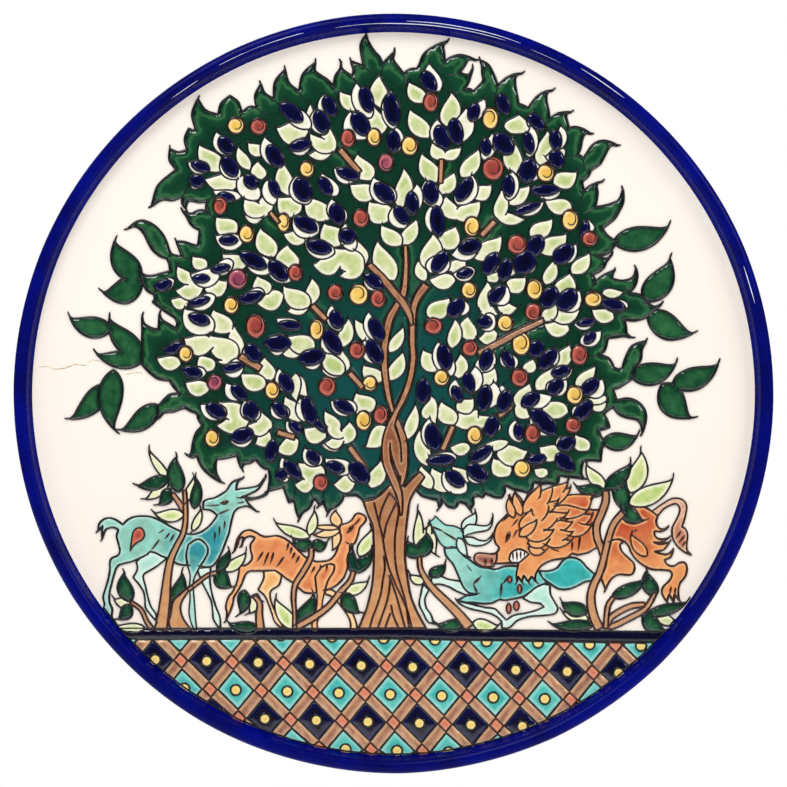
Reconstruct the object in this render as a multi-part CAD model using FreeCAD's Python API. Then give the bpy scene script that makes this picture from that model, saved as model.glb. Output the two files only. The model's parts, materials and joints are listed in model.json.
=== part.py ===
import FreeCAD, Part
import math
import os

# A glazed wall plate with a painted tree of life. Millimetres, upright, +Z up, painted face
# towards -Y. The origin is the centre of the plane on which the foot ring meets the wall.

# Driving dimensions
PLATE_RADIUS = 152.4
LIP_RADIUS = 2.8             # round section of the raised lip
GLAZE_THICKNESS = 0.4
FOOT_HEIGHT = 9.0
FOOT_RADIUS = 95.0
FOOT_WALL = 8.0
FLOOR_THICKNESS = 7.0
FLAT_BACK_RADIUS = 130.0
WELL_RADIUS = 145.8          # painted face, out to the foot of the lip
LIP_CENTRE_DEPTH = 19.4      # depth is measured from the wall, towards the viewer
LIP_INNER_ANGLE = 165.0
LIP_OUTER_ANGLE = -30.0
FIELD_HEIGHT = 0.3           # one layer of coloured glaze
GAP = 0.02                   # between the painted fields and the foot of the lip

FACE_DEPTH = FOOT_HEIGHT + FLOOR_THICKNESS + GLAZE_THICKNESS
SECOND = FACE_DEPTH + FIELD_HEIGHT
THIRD = SECOND + FIELD_HEIGHT

# Diamond lattice under the ground line: a centre and the two steps to its neighbours
DIAMOND_CENTRE = (7.7, -110.0)
STEP_DOWN_RIGHT = (11.7, -11.6)
STEP_DOWN_LEFT = (-9.0, -11.0)
DIAMOND_SCALE = 0.69
KNOT_SCALE = 0.27
STUD_RADIUS = 2.1
LATTICE_ROWS = range(-1, 5)

# Leaves: how far a tip curls, in half widths, how far the base runs on, and how full they are
CURL = 0.8
LEAF_ROOT = 0.06
LEAF_FULLNESS = 1.16
HUSK_FULLNESS = 1.08
OLIVE_LENGTH = 1.22          # of the length listed, so that its points show
OLIVE_WIDTH = 1.18           # of the width listed
FLAME_BOW = 0.15             # of the length of a run
CROWN_CENTRE = FreeCAD.Vector(2, 45, 0)

# Ground line: left and right ends, upper and lower edges
GROUND_TOP = [(-150, -94.9), (0, -94.6), (150, -97.0)]
GROUND_BOTTOM = [(-150, -98.9), (0, -98.6), (150, -101.2)]

# The painted fields. A point is x, z; a third value of 1 makes it a sharp corner.

# The leafy crown, from its left-hand notch over the top and round.
CANOPY_EDGE = [
    (-101.5, 12.1, 1), (-101.1, 22.8), (-101.1, 31.5, 1), (-100.3, 28.2), (-97.2, 26.3),
    (-94.5, 25.6, 1), (-94.3, 29.4), (-94.1, 32.3, 1), (-93.2, 29.9), (-90.5, 28),
    (-87.5, 26.2, 1), (-87.8, 30.3, 1), (-92.2, 33.2), (-96.8, 36.7, 1), (-96.3, 39.8, 1),
    (-100.7, 44.4, 1), (-101.5, 47.3), (-102.2, 50.2, 1), (-100.9, 48.1), (-98.8, 47.3),
    (-95.5, 47.7), (-89.9, 49.3, 1), (-90.3, 52.2), (-91.2, 54.3, 1), (-93.9, 55.2), (-96.8, 57.6),
    (-98.8, 61), (-100.5, 64.3), (-102.2, 66.3), (-104.6, 67.2), (-106.9, 66.1, 1), (-103.8, 68.8),
    (-101.7, 69.6), (-99.7, 69.3), (-95.9, 67.4), (-93, 64.3), (-91.2, 61), (-90.3, 58.1),
    (-89.3, 56.2), (-87.2, 55.4), (-85, 55.2, 1), (-86.4, 58.5), (-87.4, 61.2, 1), (-84.3, 61),
    (-81, 59.9), (-78.7, 59.3, 1), (-78.3, 61.4), (-77.9, 65.7, 1), (-80.2, 66.8), (-81.8, 68.4),
    (-83.1, 70.9), (-84.9, 73.4, 1), (-81.4, 72.4), (-78.5, 73.6), (-76, 73.6), (-74.6, 72.8, 1),
    (-74.9, 77.1, 1), (-78.1, 76.9), (-82.3, 77.3), (-83.7, 74.4, 1), (-84.9, 79.2, 1),
    (-88.9, 77.7), (-93, 77.9), (-97.2, 75.3, 1), (-95.9, 80.9), (-94.3, 84.2), (-87.5, 90, 1),
    (-90, 98.4, 1), (-83, 98, 1), (-82.3, 106.6, 1), (-79.5, 106, 1), (-78.7, 118.5, 1),
    (-70.5, 112, 1), (-65.8, 119.8, 1), (-61, 113, 1), (-58, 115.3), (-55, 114.8, 1),
    (-53.3, 124.5, 1), (-48.2, 118.5, 1), (-43.5, 130.5, 1), (-38, 121.5, 1), (-31.3, 133.3, 1),
    (-31.6, 130), (-30.1, 128.5), (-26, 125.8), (-24.3, 123.6, 1), (-23.4, 127.6), (-21.4, 130.7),
    (-21.1, 133.6, 1), (-20.7, 130.7), (-16.5, 127.6, 1), (-16.2, 130.3), (-17.2, 133.7, 1),
    (-15.4, 133), (-12.1, 131.7, 1), (-13.1, 137), (-13.1, 140.5), (-10.9, 144.8, 1),
    (-10.2, 141.9), (-8.2, 138.3), (-5.5, 135.2), (-4.2, 132.3, 1), (-2.9, 134.3), (0.5, 137.6, 1),
    (0, 134.3), (2.1, 131.2), (4.3, 128.3, 1), (5.2, 129.6), (7, 130.5), (9.4, 130.7, 1),
    (10.3, 132.1), (11.9, 136.1), (14.1, 138.3), (17.7, 140.3), (21.9, 141.7, 1), (20.1, 140.1),
    (20.4, 137), (20.6, 133.6, 1), (23, 135.2), (26.6, 136.1), (29.7, 135.6), (33.3, 133.9, 1),
    (30.4, 134.3), (28.8, 132.1), (26.6, 128.9, 1), (30.1, 128.3), (32, 131, 1), (30.4, 125.8),
    (29.3, 123.6), (28.5, 122.3, 1), (32.3, 121.5, 1), (33.9, 123.3), (35.9, 125.7), (35.7, 128.4),
    (35.5, 132), (34.8, 134, 1), (37.9, 132.4), (39.7, 129.7), (41.5, 125.3), (41.9, 123.5, 1),
    (42.9, 124.8), (45.1, 126.8), (48.2, 128.2), (52, 128.8, 1), (49.3, 127.7), (48.9, 124.4),
    (49.8, 119.9), (50.2, 116.6, 1), (52.2, 115.9), (54.2, 114.8, 1), (55.4, 116.6), (58, 119.7),
    (60.7, 121.3), (64.3, 122, 1), (61.8, 120.8), (61.6, 117.7), (62.5, 113.2), (62.5, 110.5, 1),
    (64.3, 111.7), (66.5, 112.8), (71.7, 113.2, 1), (69.6, 112.3), (70.1, 108.8), (70.5, 106.7, 1),
    (73.2, 107.2), (76.3, 106.3), (79.5, 104.3, 1), (77.2, 104.5), (75.9, 102.1), (75.2, 98.5),
    (73.9, 95.8, 1), (76.3, 94.5, 1), (77.7, 96.7), (80.4, 100.3), (83.5, 101.6), (86.6, 101.4),
    (90.4, 99.6, 1), (87.5, 99.6), (84.8, 95.4), (83, 92.2), (79.7, 89.8), (78.3, 87.3),
    (76.1, 85.3), (76.1, 83.8), (76.6, 81.5, 1), (78.6, 83.3), (81.3, 84.6), (84.2, 85.3, 1),
    (81.9, 84.2), (82.1, 80.6), (81.7, 77.5), (81.1, 75.2, 1), (83.8, 75.3), (87.9, 76.5),
    (90.6, 78), (92.3, 82.2, 1), (92.5, 77.5), (91, 73.8), (88.7, 70.1), (86.2, 68), (84, 66.4, 1),
    (85.8, 63.9), (87.9, 62.2), (89.8, 61.3, 1), (88.3, 58.5), (86.2, 56.4), (84.2, 55.6),
    (81.5, 55.4, 1), (83.8, 54.5), (85.8, 54.3), (87.9, 56, 1), (85.8, 53.1), (84.6, 50.6),
    (82.5, 48.9), (80, 47.7, 1), (80.9, 44.8, 1), (83.3, 46.9), (86.2, 48.5), (89.1, 49.6, 1),
    (88.3, 48.5), (87.9, 46.2, 1), (91.2, 45.4), (94.5, 45.8), (96.6, 47.3), (97.6, 50.4, 1),
    (98.1, 46.9), (97, 43.1), (94.9, 40.4, 1), (98.7, 39.8), (101.2, 37.7), (104.5, 35),
    (107.8, 35.9, 1), (105.3, 33.6), (102.8, 31.5), (99.9, 29.9), (96.6, 29.2), (92.9, 29.7, 1),
    (93.5, 27), (93.9, 24.1), (95.8, 22.4, 1), (92.9, 23), (89.6, 22.5), (86.2, 22.3, 1),
    (85, 17.5), (82.9, 15.4, 1), (84.6, 15), (86.7, 14), (87.9, 12.3), (88.7, 10.5, 1),
    (90.4, 9.8), (92, 10.3, 1), (92.9, 13.4), (94.5, 17.1), (96.6, 19.6), (101.6, 21, 1),
    (99.9, 17.5), (99.5, 13.8), (97.2, 10.2, 1), (96.6, 7.6), (95.2, 5.3, 1), (92.9, 3.8),
    (90.4, 2.2), (88.3, 1.8, 1), (89.1, -0.7), (89.8, -2.6, 1), (94.1, -2), (97.9, -3.2),
    (100.8, -6.1), (101.6, -9), (101.2, -12.3), (100.1, -16, 1), (99.5, -12.8), (97.9, -10.7),
    (94.5, -9.9), (91.6, -9), (90, -7.8), (88.9, -6.3, 1), (87.9, -5.7), (84.6, -8.2, 1),
    (85.8, -10.3), (86.9, -13.6, 1), (84.6, -14.4), (82.5, -14.8, 1), (83.3, -16.9),
    (84.8, -19.4, 1), (83.8, -21.9, 1), (83.5, -24.8), (83.3, -27.3, 1), (79.6, -26.9),
    (76.3, -27.3, 1), (75.7, -29.8), (75.7, -32.4), (76.7, -34.4, 1), (70.2, -33.5),
    (66.4, -33.1, 1), (65.5, -36.4, 1), (61.5, -36.2), (59.8, -36.4), (56.1, -35.6, 1),
    (54.1, -40, 1), (51.5, -39.3), (48.2, -38.5), (44.5, -36.8, 1), (43.5, -42, 1), (40.7, -41.8),
    (36.6, -40.1, 1), (35.8, -41.8, 1), (32, -41.8, 1), (30.8, -46.8, 1), (26, -43.6, 1),
    (24.5, -46.2, 1), (21.8, -45.4), (19.2, -42, 1), (18.3, -46.3, 1), (17.6, -43.2),
    (15.6, -42.5), (11.5, -41.2), (9.6, -39.4, 1), (-2.8, -38.5, 1), (-5.1, -41.2), (-8, -43.2),
    (-11.8, -43.4, 1), (-14.7, -41.2), (-17.6, -41), (-20, -41.2, 1), (-20.6, -43), (-22.8, -45.4),
    (-25.3, -46.6), (-26.3, -48.3, 1), (-27.8, -45), (-28.2, -42.5, 1), (-29.9, -45.2, 1),
    (-32.3, -42.4, 1), (-32.8, -44.1), (-34, -46.2), (-36.7, -48.3), (-37.8, -50.5, 1),
    (-39, -47.9), (-39.6, -45), (-40.2, -42.6, 1), (-42.1, -43.8, 1), (-43.5, -40.1),
    (-44.2, -37.6, 1), (-47.7, -38.5), (-50.4, -39.2, 1), (-49.8, -33.9), (-50.2, -30.4, 1),
    (-51.8, -30.2), (-53.5, -28.9), (-55.4, -26.6, 1), (-57.6, -27.9), (-60.1, -28.5),
    (-61, -30.4, 1), (-62.2, -27.7), (-62.9, -24.8, 1), (-66.3, -25.8), (-71, -26.4, 1),
    (-71.5, -28.1), (-71.3, -31.8), (-69.2, -35.8, 1), (-73.1, -33.5), (-76, -31), (-78.1, -27.7),
    (-78.9, -25.2, 1), (-83.1, -24.9, 1), (-81.6, -24.4), (-80.6, -19.4), (-79.3, -15.7),
    (-76.9, -13, 1), (-78.5, -10.3), (-79.1, -8.2), (-81.4, -7.2), (-83.9, -5.9), (-85.2, -6.1),
    (-88.1, -7.2), (-92.2, -7.8), (-94.2, -9.7), (-96.6, -11.3, 1), (-94.9, -5.5, 1), (-92.2, -2.4),
    (-89.7, -0.3), (-86, 0.1, 1), (-88.1, 2.2), (-89.3, 3.8), (-90.1, 5.3, 1), (-94.7, 5.9),
    (-97.2, 7.6), (-99.7, 10),
]

# Leaves: tip x, tip z, base x, base z, width.
PALE_LEAVES = [
    (-78.1, 100.9, -69, 90, 6.5), (-76.5, 86.9, -62.5, 84.8, 6.2), (-62.3, 100, -58, 90.3, 4),
    (-58.6, 101.4, -52, 96.5, 4.5), (-53.9, 93.8, -53, 86.3, 5), (-43.7, 93.8, -42.3, 80.2, 5.8),
    (-47.5, 107.5, -34.8, 105.3, 8), (-32.9, 117.2, -32.5, 106.1, 3.2),
    (-59.7, 79.6, -53, 71.5, 5.5), (-52.3, 81.7, -53, 71, 5.5), (-60.5, 72.1, -52.5, 71.5, 4.5),
    (-46.5, 79.8, -37.5, 73.5, 7.5), (-35, 80.4, -26.3, 70.4, 7), (-33.7, 105.3, -25.5, 97.3, 4.6),
    (-25.4, 108.4, -25, 97, 5), (-35, 96.3, -25, 97.3, 4), (-21.6, 122.2, -14.2, 114.5, 5),
    (-4.9, 128.5, -4.6, 115.1, 6), (-7.2, 116, -4.8, 104.9, 6.5), (-14.2, 97, -9.2, 86.2, 6.8),
    (-17.8, 84.8, -7.3, 79.8, 6.3), (3.5, 91.2, 2.8, 75.2, 6), (6.3, 126, 12.3, 117.3, 5.3),
    (6.8, 115, 13.8, 103.3, 6), (22.6, 121.7, 21.3, 108, 6.5), (11.6, 97.3, 17.7, 85.4, 6),
    (15.8, 101.4, 19.8, 94.3, 4.5), (27.5, 99.6, 20.3, 94.6, 3.8), (34, 99.1, 27.6, 87.4, 5.5),
    (24.2, 89.6, 19.2, 80.6, 5), (39.5, 84.6, 31.7, 79.3, 5.5), (35, 78.2, 25.5, 70.5, 6.2),
    (21.5, 80, 24.7, 70.3, 5.5), (49.7, 112.7, 47.5, 104.8, 8), (48.6, 103.7, 49.3, 88.5, 6.3),
    (61.4, 106.5, 58.8, 92.5, 5.8), (73.9, 89.8, 64.7, 84.6, 6), (42.8, 82.5, 42.2, 70.5, 4.8),
    (53.5, 70.5, 42, 71, 4), (55, 84.4, 45.5, 76.8, 5.3), (60.5, 78.3, 71.3, 74.6, 5.5),
    (-80.8, 55.8, -75.2, 50.8, 4.5), (-86.8, 52, -81, 44.5, 4.5), (-88.3, 42, -77, 42.3, 5.8),
    (-89.9, 38.4, -82.7, 36, 4.3), (-72.2, 34.5, -66, 25, 7), (-71.3, 71.7, -63.2, 65.2, 6.5),
    (-27.7, 69.3, -20.7, 60.3, 8), (-53.2, 67.3, -48.2, 55.5, 6.5), (-44.6, 64.9, -34.8, 62.4, 5),
    (-41.8, 60.2, -41, 50, 7.5), (-33, 52.3, -21.3, 53.3, 6.8), (-68.9, 56.9, -59.8, 51.2, 6),
    (-54.3, 47.9, -50.5, 40.5, 6), (-55.7, 36.7, -44.7, 39.5, 6.3), (-44.4, 44, -34, 35.5, 6.5),
    (-33.4, 46.9, -33.5, 36, 5), (-43.5, 33.3, -34, 36.5, 4.5), (-84.5, 23, -73, 19, 7),
    (-74.2, 24.5, -63, 15.5, 7.5), (-63.5, 27.8, -61.8, 16, 5), (-71.5, 12.8, -62, 16.5, 4),
    (-43.5, 23.8, -32, 19, 6.5), (-66.5, 46, -75.3, 41.5, 6), (-9.8, 78, -1.2, 70.3, 7.5),
    (-4.9, 68.6, 2.8, 60, 5.5), (9, 70.9, 3.6, 60, 5), (-6.1, 62.2, 0, 46.2, 7),
    (-24.5, 59.5, -12.5, 51.5, 7.5), (-15.5, 63.8, -12, 52, 6.5), (-22.5, 47.3, -12, 52, 5),
    (15.2, 65, 13.2, 50.8, 7), (10.3, 54, 12.5, 45.5, 4), (13.8, 46.5, 24.5, 45.5, 5.3),
    (24.6, 68, 19, 58.5, 7), (29, 55, 22.5, 49.5, 5), (22.5, 39.3, 14, 31.3, 6.3),
    (24.2, 30.6, 23.5, 18.7, 4.6), (30.6, 31.5, 31, 21.5, 6), (3.8, 27.6, -1.4, 17, 4),
    (-15.5, 30.8, -6.8, 20.3, 5), (-18.5, 30.8, -21, 19, 5), (64, 70.9, 55.2, 63.7, 5.5),
    (69.8, 65, 59, 57.2, 6.5), (43.5, 64.2, 33, 54.5, 6.5), (78.7, 57.2, 72, 48.5, 5),
    (64, 54.5, 61.3, 44.2, 4.6), (70.3, 49, 66.5, 39.5, 6.8), (41.6, 49.8, 38, 45.2, 4),
    (53.3, 47.5, 45.5, 42, 5.5), (37.2, 45.8, 35.5, 33.5, 5), (42.8, 32, 34.5, 36.5, 4.5),
    (50.3, 35, 42, 34.8, 4.3), (65.2, 37, 60, 29.5, 4.5), (75.4, 35.5, 64.5, 30, 5.5),
    (60.2, 28.7, 70.3, 25.6, 5.5), (33.5, 22.5, 41.5, 24, 5), (93, 41.3, 84.2, 40.5, 3.3),
    (79.5, 34.5, 88.3, 30.3, 5), (-95.5, 14.9, -85.8, 11.8, 5), (-84, 5.2, -74.5, 1.5, 5.5),
    (-77.8, 16.3, -72.5, 9.8, 5.6), (-61.5, 8.9, -51.8, 3, 6), (-51.3, 15.2, -49.2, 5.7, 5.5),
    (-47, 18, -36, 18.3, 5), (-28, 18.5, -20.5, 8, 6), (-29.5, 10, -20, 9, 4),
    (-38.4, -3.8, -39.3, 7.5, 4), (-33.6, -1.5, -39.5, 7.2, 4.5), (-43.5, -0.3, -35.8, -10.6, 6),
    (-27.6, -6.2, -21.8, -14.2, 4.2), (-70.5, -2.6, -60.2, -8.2, 6),
    (-71.9, -12.3, -58.5, -10.5, 6.2), (-59.3, -12, -50, -14, 5), (-52.7, -6.6, -50.5, -15, 5.5),
    (-56.4, -20.2, -50, -15.5, 5.5), (-48.1, -22.4, -38.5, -19, 5.8),
    (-36.2, -13.2, -27.4, -17.5, 6), (-27, -12, -20.5, -17.5, 3.5), (-28.2, -19.4, -20.3, -19, 4),
    (-38.5, -27, -28, -33, 6.5), (-40.3, -36, -32, -36, 5), (-20, 18, -19.5, 9, 5),
    (-12.2, 12.2, -5, 5.2, 5.5), (3.4, 17.5, -1.2, 5.8, 5), (-14.8, 1, -8.5, -6.7, 7.5),
    (-18.2, -10.7, -20, -20, 5.5), (-29.5, -20, -20.5, -20.5, 4), (-12.2, -21.6, -3.7, -13.5, 6),
    (-5.6, -26.2, -8.8, -37.5, 5.5), (-24.7, -36, -15.5, -34.8, 5.8), (8.5, -3.5, 5.3, -18, 4.4),
    (12, 18.3, 18.5, 9.5, 6.3), (26.3, 16.5, 26, 6.5, 5), (14.6, -1.3, 13, -10, 5),
    (17.7, -13, 15, -1.5, 4), (11, -13.8, 13.3, -28.5, 5.2), (11.3, -28.2, 15, -38, 4.5),
    (19.5, -2.5, 24.3, -12, 6), (32.3, -1.3, 25.7, -6.5, 5.2), (33.8, -5.6, 25.3, -12.6, 6.5),
    (22.2, -21, 30.6, -22, 4.5), (15.5, -29, 22.6, -39, 6), (23.8, -28.5, 30.3, -35, 5.2),
    (40.3, 11.8, 33.7, 1.5, 6.5), (70.5, 20.3, 65, 11, 5.5), (64, 11.5, 57.7, 1.8, 5),
    (81.3, 11.8, 73.5, 3.5, 4.2), (75.9, -2.6, 85.8, -1.8, 3), (85.8, -2, 79.6, -6.1, 4),
    (54.3, 4.8, 49.5, -4.5, 5.5), (55.7, -9.5, 49.3, -4.8, 4.5), (58.7, -2.8, 69.7, -7.4, 6),
    (39.8, -8.4, 30.2, -12.2, 4.6), (55.7, 14.5, 53, 8.5, 4.3), (33, -21.5, 45.8, -19.6, 3.5),
    (54.5, -22.3, 42, -24.5, 7), (40.2, -25.2, 46.5, -32.6, 6), (58.4, -20.7, 67, -24.5, 6),
    (73.2, -15.8, 78.3, -22.5, 5), (56.2, -29.8, 62, -32.3, 3.6),
]

OLIVE_HUSKS = [
    (-70.9, 105.6, -65.5, 95.8, 6), (-82.7, 93.6, -74, 90, 5), (-81.5, 87.5, -76, 84, 5.5),
    (-68.5, 95.5, -62, 86.4, 6.3), (-61.5, 88.7, -54.2, 77.9, 7), (-50.4, 86.4, -48.1, 75.7, 5),
    (-51.5, 103.6, -45, 91, 7), (-42.5, 98.8, -33, 101, 6), (-43.7, 118.6, -33.4, 106.5, 6.5),
    (-31, 114.6, -27.5, 104, 6.3), (-27.9, 120.4, -24.3, 111.4, 6.3), (-38.5, 88, -34.5, 76, 7.5),
    (-28.5, 89.1, -22.5, 79.5, 6), (-73, 82, -61, 79, 4), (-14.5, 125.4, -9.3, 110.6, 6.5),
    (-17.1, 113.8, -11.3, 102.1, 8.5), (-0.2, 122.2, -0.2, 106.2, 6.5), (0.5, 107.5, 0, 96.3, 5.5),
    (14.8, 133, 18.3, 121.3, 6), (18.1, 110.6, 21.3, 98.3, 7), (28.6, 115.1, 24.8, 100.4, 8),
    (36.4, 119, 30.1, 109.6, 5), (-24.1, 91, -13.6, 87.4, 7), (-7.8, 87.4, 0.3, 76.7, 8),
    (9, 84.7, 6, 71.5, 6), (13.2, 86.1, 18.6, 75, 7), (31.3, 88.3, 25.7, 75.8, 7.5),
    (44.2, 120.4, 45.1, 113.2, 5.2), (43, 104.3, 46.9, 97.4, 7.5), (39.3, 105, 36.2, 93.8, 5),
    (54.7, 107.9, 54.5, 94.9, 5), (55.8, 94.5, 51.8, 85.3, 8), (56.9, 113.7, 58.3, 105.2, 5.5),
    (66.7, 107.9, 66.5, 98, 4.5), (60.7, 95.4, 69.2, 97.5, 6), (56, 83, 67.2, 80.6, 5.5),
    (46.7, 90, 46.4, 77.5, 5.5), (60.7, 77.5, 49.1, 73, 5.2), (-71.7, 63.9, -60.5, 60.5, 6.5),
    (-81.8, 48.5, -69.8, 46.9, 7), (-73.8, 50.2, -64.3, 52.7, 5.5), (-96, 43, -88, 45.5, 4.5),
    (-82.7, 35.7, -71.5, 39, 5.5), (-84.1, 34.8, -72.3, 25.3, 9), (-59.3, 57.6, -48.5, 48.9, 7.5),
    (-49.3, 54.7, -41.5, 44.8, 7), (-40.2, 71.8, -30, 64.5, 8), (-35.7, 61.4, -23.6, 56.4, 6.5),
    (-62, 39.4, -51.8, 40.7, 5.5), (-47.3, 30.7, -37.3, 27, 4.8), (-24.6, 78.8, -19.6, 68.8, 6.5),
    (-18.8, 68.8, -16.3, 57.2, 6), (0.9, 75.9, 4.4, 66.3, 6.5), (16.8, 76.7, 17.7, 63.4, 6.5),
    (22.7, 56, 34.5, 61.5, 7.5), (20.2, 57.6, 14.4, 48.5, 8), (23.5, 48.5, 33, 49.3, 5.5),
    (-12.2, 46.8, -3.9, 43.5, 5.5), (26.8, 38.5, 25.3, 31, 6.5), (-24.4, 36, -21.7, 24.9, 5.5),
    (-9.7, 33.2, -5.5, 20.7, 6), (36, 49, 41, 55.5, 6), (47, 54, 45, 47, 5.5),
    (48.5, 49.8, 56, 56.8, 8), (56, 63.5, 59.5, 58, 5.5), (73.5, 60.5, 64.5, 54, 7),
    (78.9, 70, 79.5, 65, 4), (60, 42.7, 65.5, 37.5, 6.5), (74.7, 41.9, 66, 34.4, 8),
    (45.7, 43.5, 38.7, 37, 7.5), (34, 26.5, 40.5, 31.5, 6), (72.2, 28.2, 80.7, 29, 4.5),
    (83.4, 25.7, 75, 20, 5.5), (83.8, 37.5, 94.5, 35, 5), (-93, 18, -84, 20.5, 4),
    (-85.2, 10.5, -75.2, 8, 5), (-77.7, -3.8, -67, -8.5, 6.5), (-59.5, 19.6, -53.9, 13, 6),
    (-51.5, 21, -42.2, 21, 8), (-37.7, 13.4, -28.2, 15, 6.5), (-69.2, 9.2, -60.1, 12.5, 6.5),
    (-45.6, 10.5, -41.5, 0.1, 5.5), (-67.2, 4.7, -60.1, -2, 6), (-59.5, -2.2, -54.5, -10.5, 6.5),
    (-65.9, -19, -56.4, -15.2, 6.5), (-48.5, -3.2, -42.3, -9.4, 6),
    (-43.1, -10.7, -36.9, -15.2, 5), (-37.3, -1.5, -32.5, -12, 6), (-35.7, -21.5, -29, -28.5, 6),
    (-44.8, -25.2, -38.2, -33.5, 6), (-47.2, -34.5, -43.5, -30.5, 5.5),
    (-28, 24, -21.8, 16.8, 6.5), (-11.5, 22, -5.1, 12.1, 6.5), (-25.4, -2.4, -14.7, -6.5, 6.5),
    (-27.5, -25.5, -16.5, -31, 6.5), (-17.5, -27.5, -10.5, -35, 6.5), (12.1, 6.3, 13.5, -1, 5),
    (18.3, 21.3, 23.5, 7, 7), (32.2, 11.3, 30.5, -0.3, 6.3), (25.5, 6, 26, -3.5, 5),
    (14.8, -9.5, 17.7, -23.5, 7), (14, -24.8, 25.5, -26, 5.5), (20.2, -30.6, 29.3, -39.7, 7),
    (39.6, 17.8, 33.7, 8.8, 6.5), (40, 5, 35.8, -6, 7.3), (44.5, 3.6, 44.5, -5, 5.5),
    (44.4, 18, 49.3, 10.3, 6), (65.2, 18.8, 59, 11.3, 6.5), (72.2, 10.2, 63.7, 8, 5),
    (69.7, 6, 61.5, 1, 6.5), (84, 6.2, 76.5, 0, 7.5), (64, -0.3, 52, -3.2, 6),
    (56, -6.5, 64.8, -16, 8), (79.3, -4, 71.8, -8.6, 6), (41, -9.5, 42.5, -15, 3),
    (49.4, -10.3, 50.7, -19.8, 5.5), (39.9, -21.9, 30.4, -26.8, 6),
    (30.4, -28.5, 37.8, -34.7, 6.8), (72.7, -17, 65.2, -20.8, 5.5), (60.6, -24.4, 54.4, -26.8, 5),
    (66.5, -24.5, 72.3, -30.5, 5.5),
]

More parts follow.
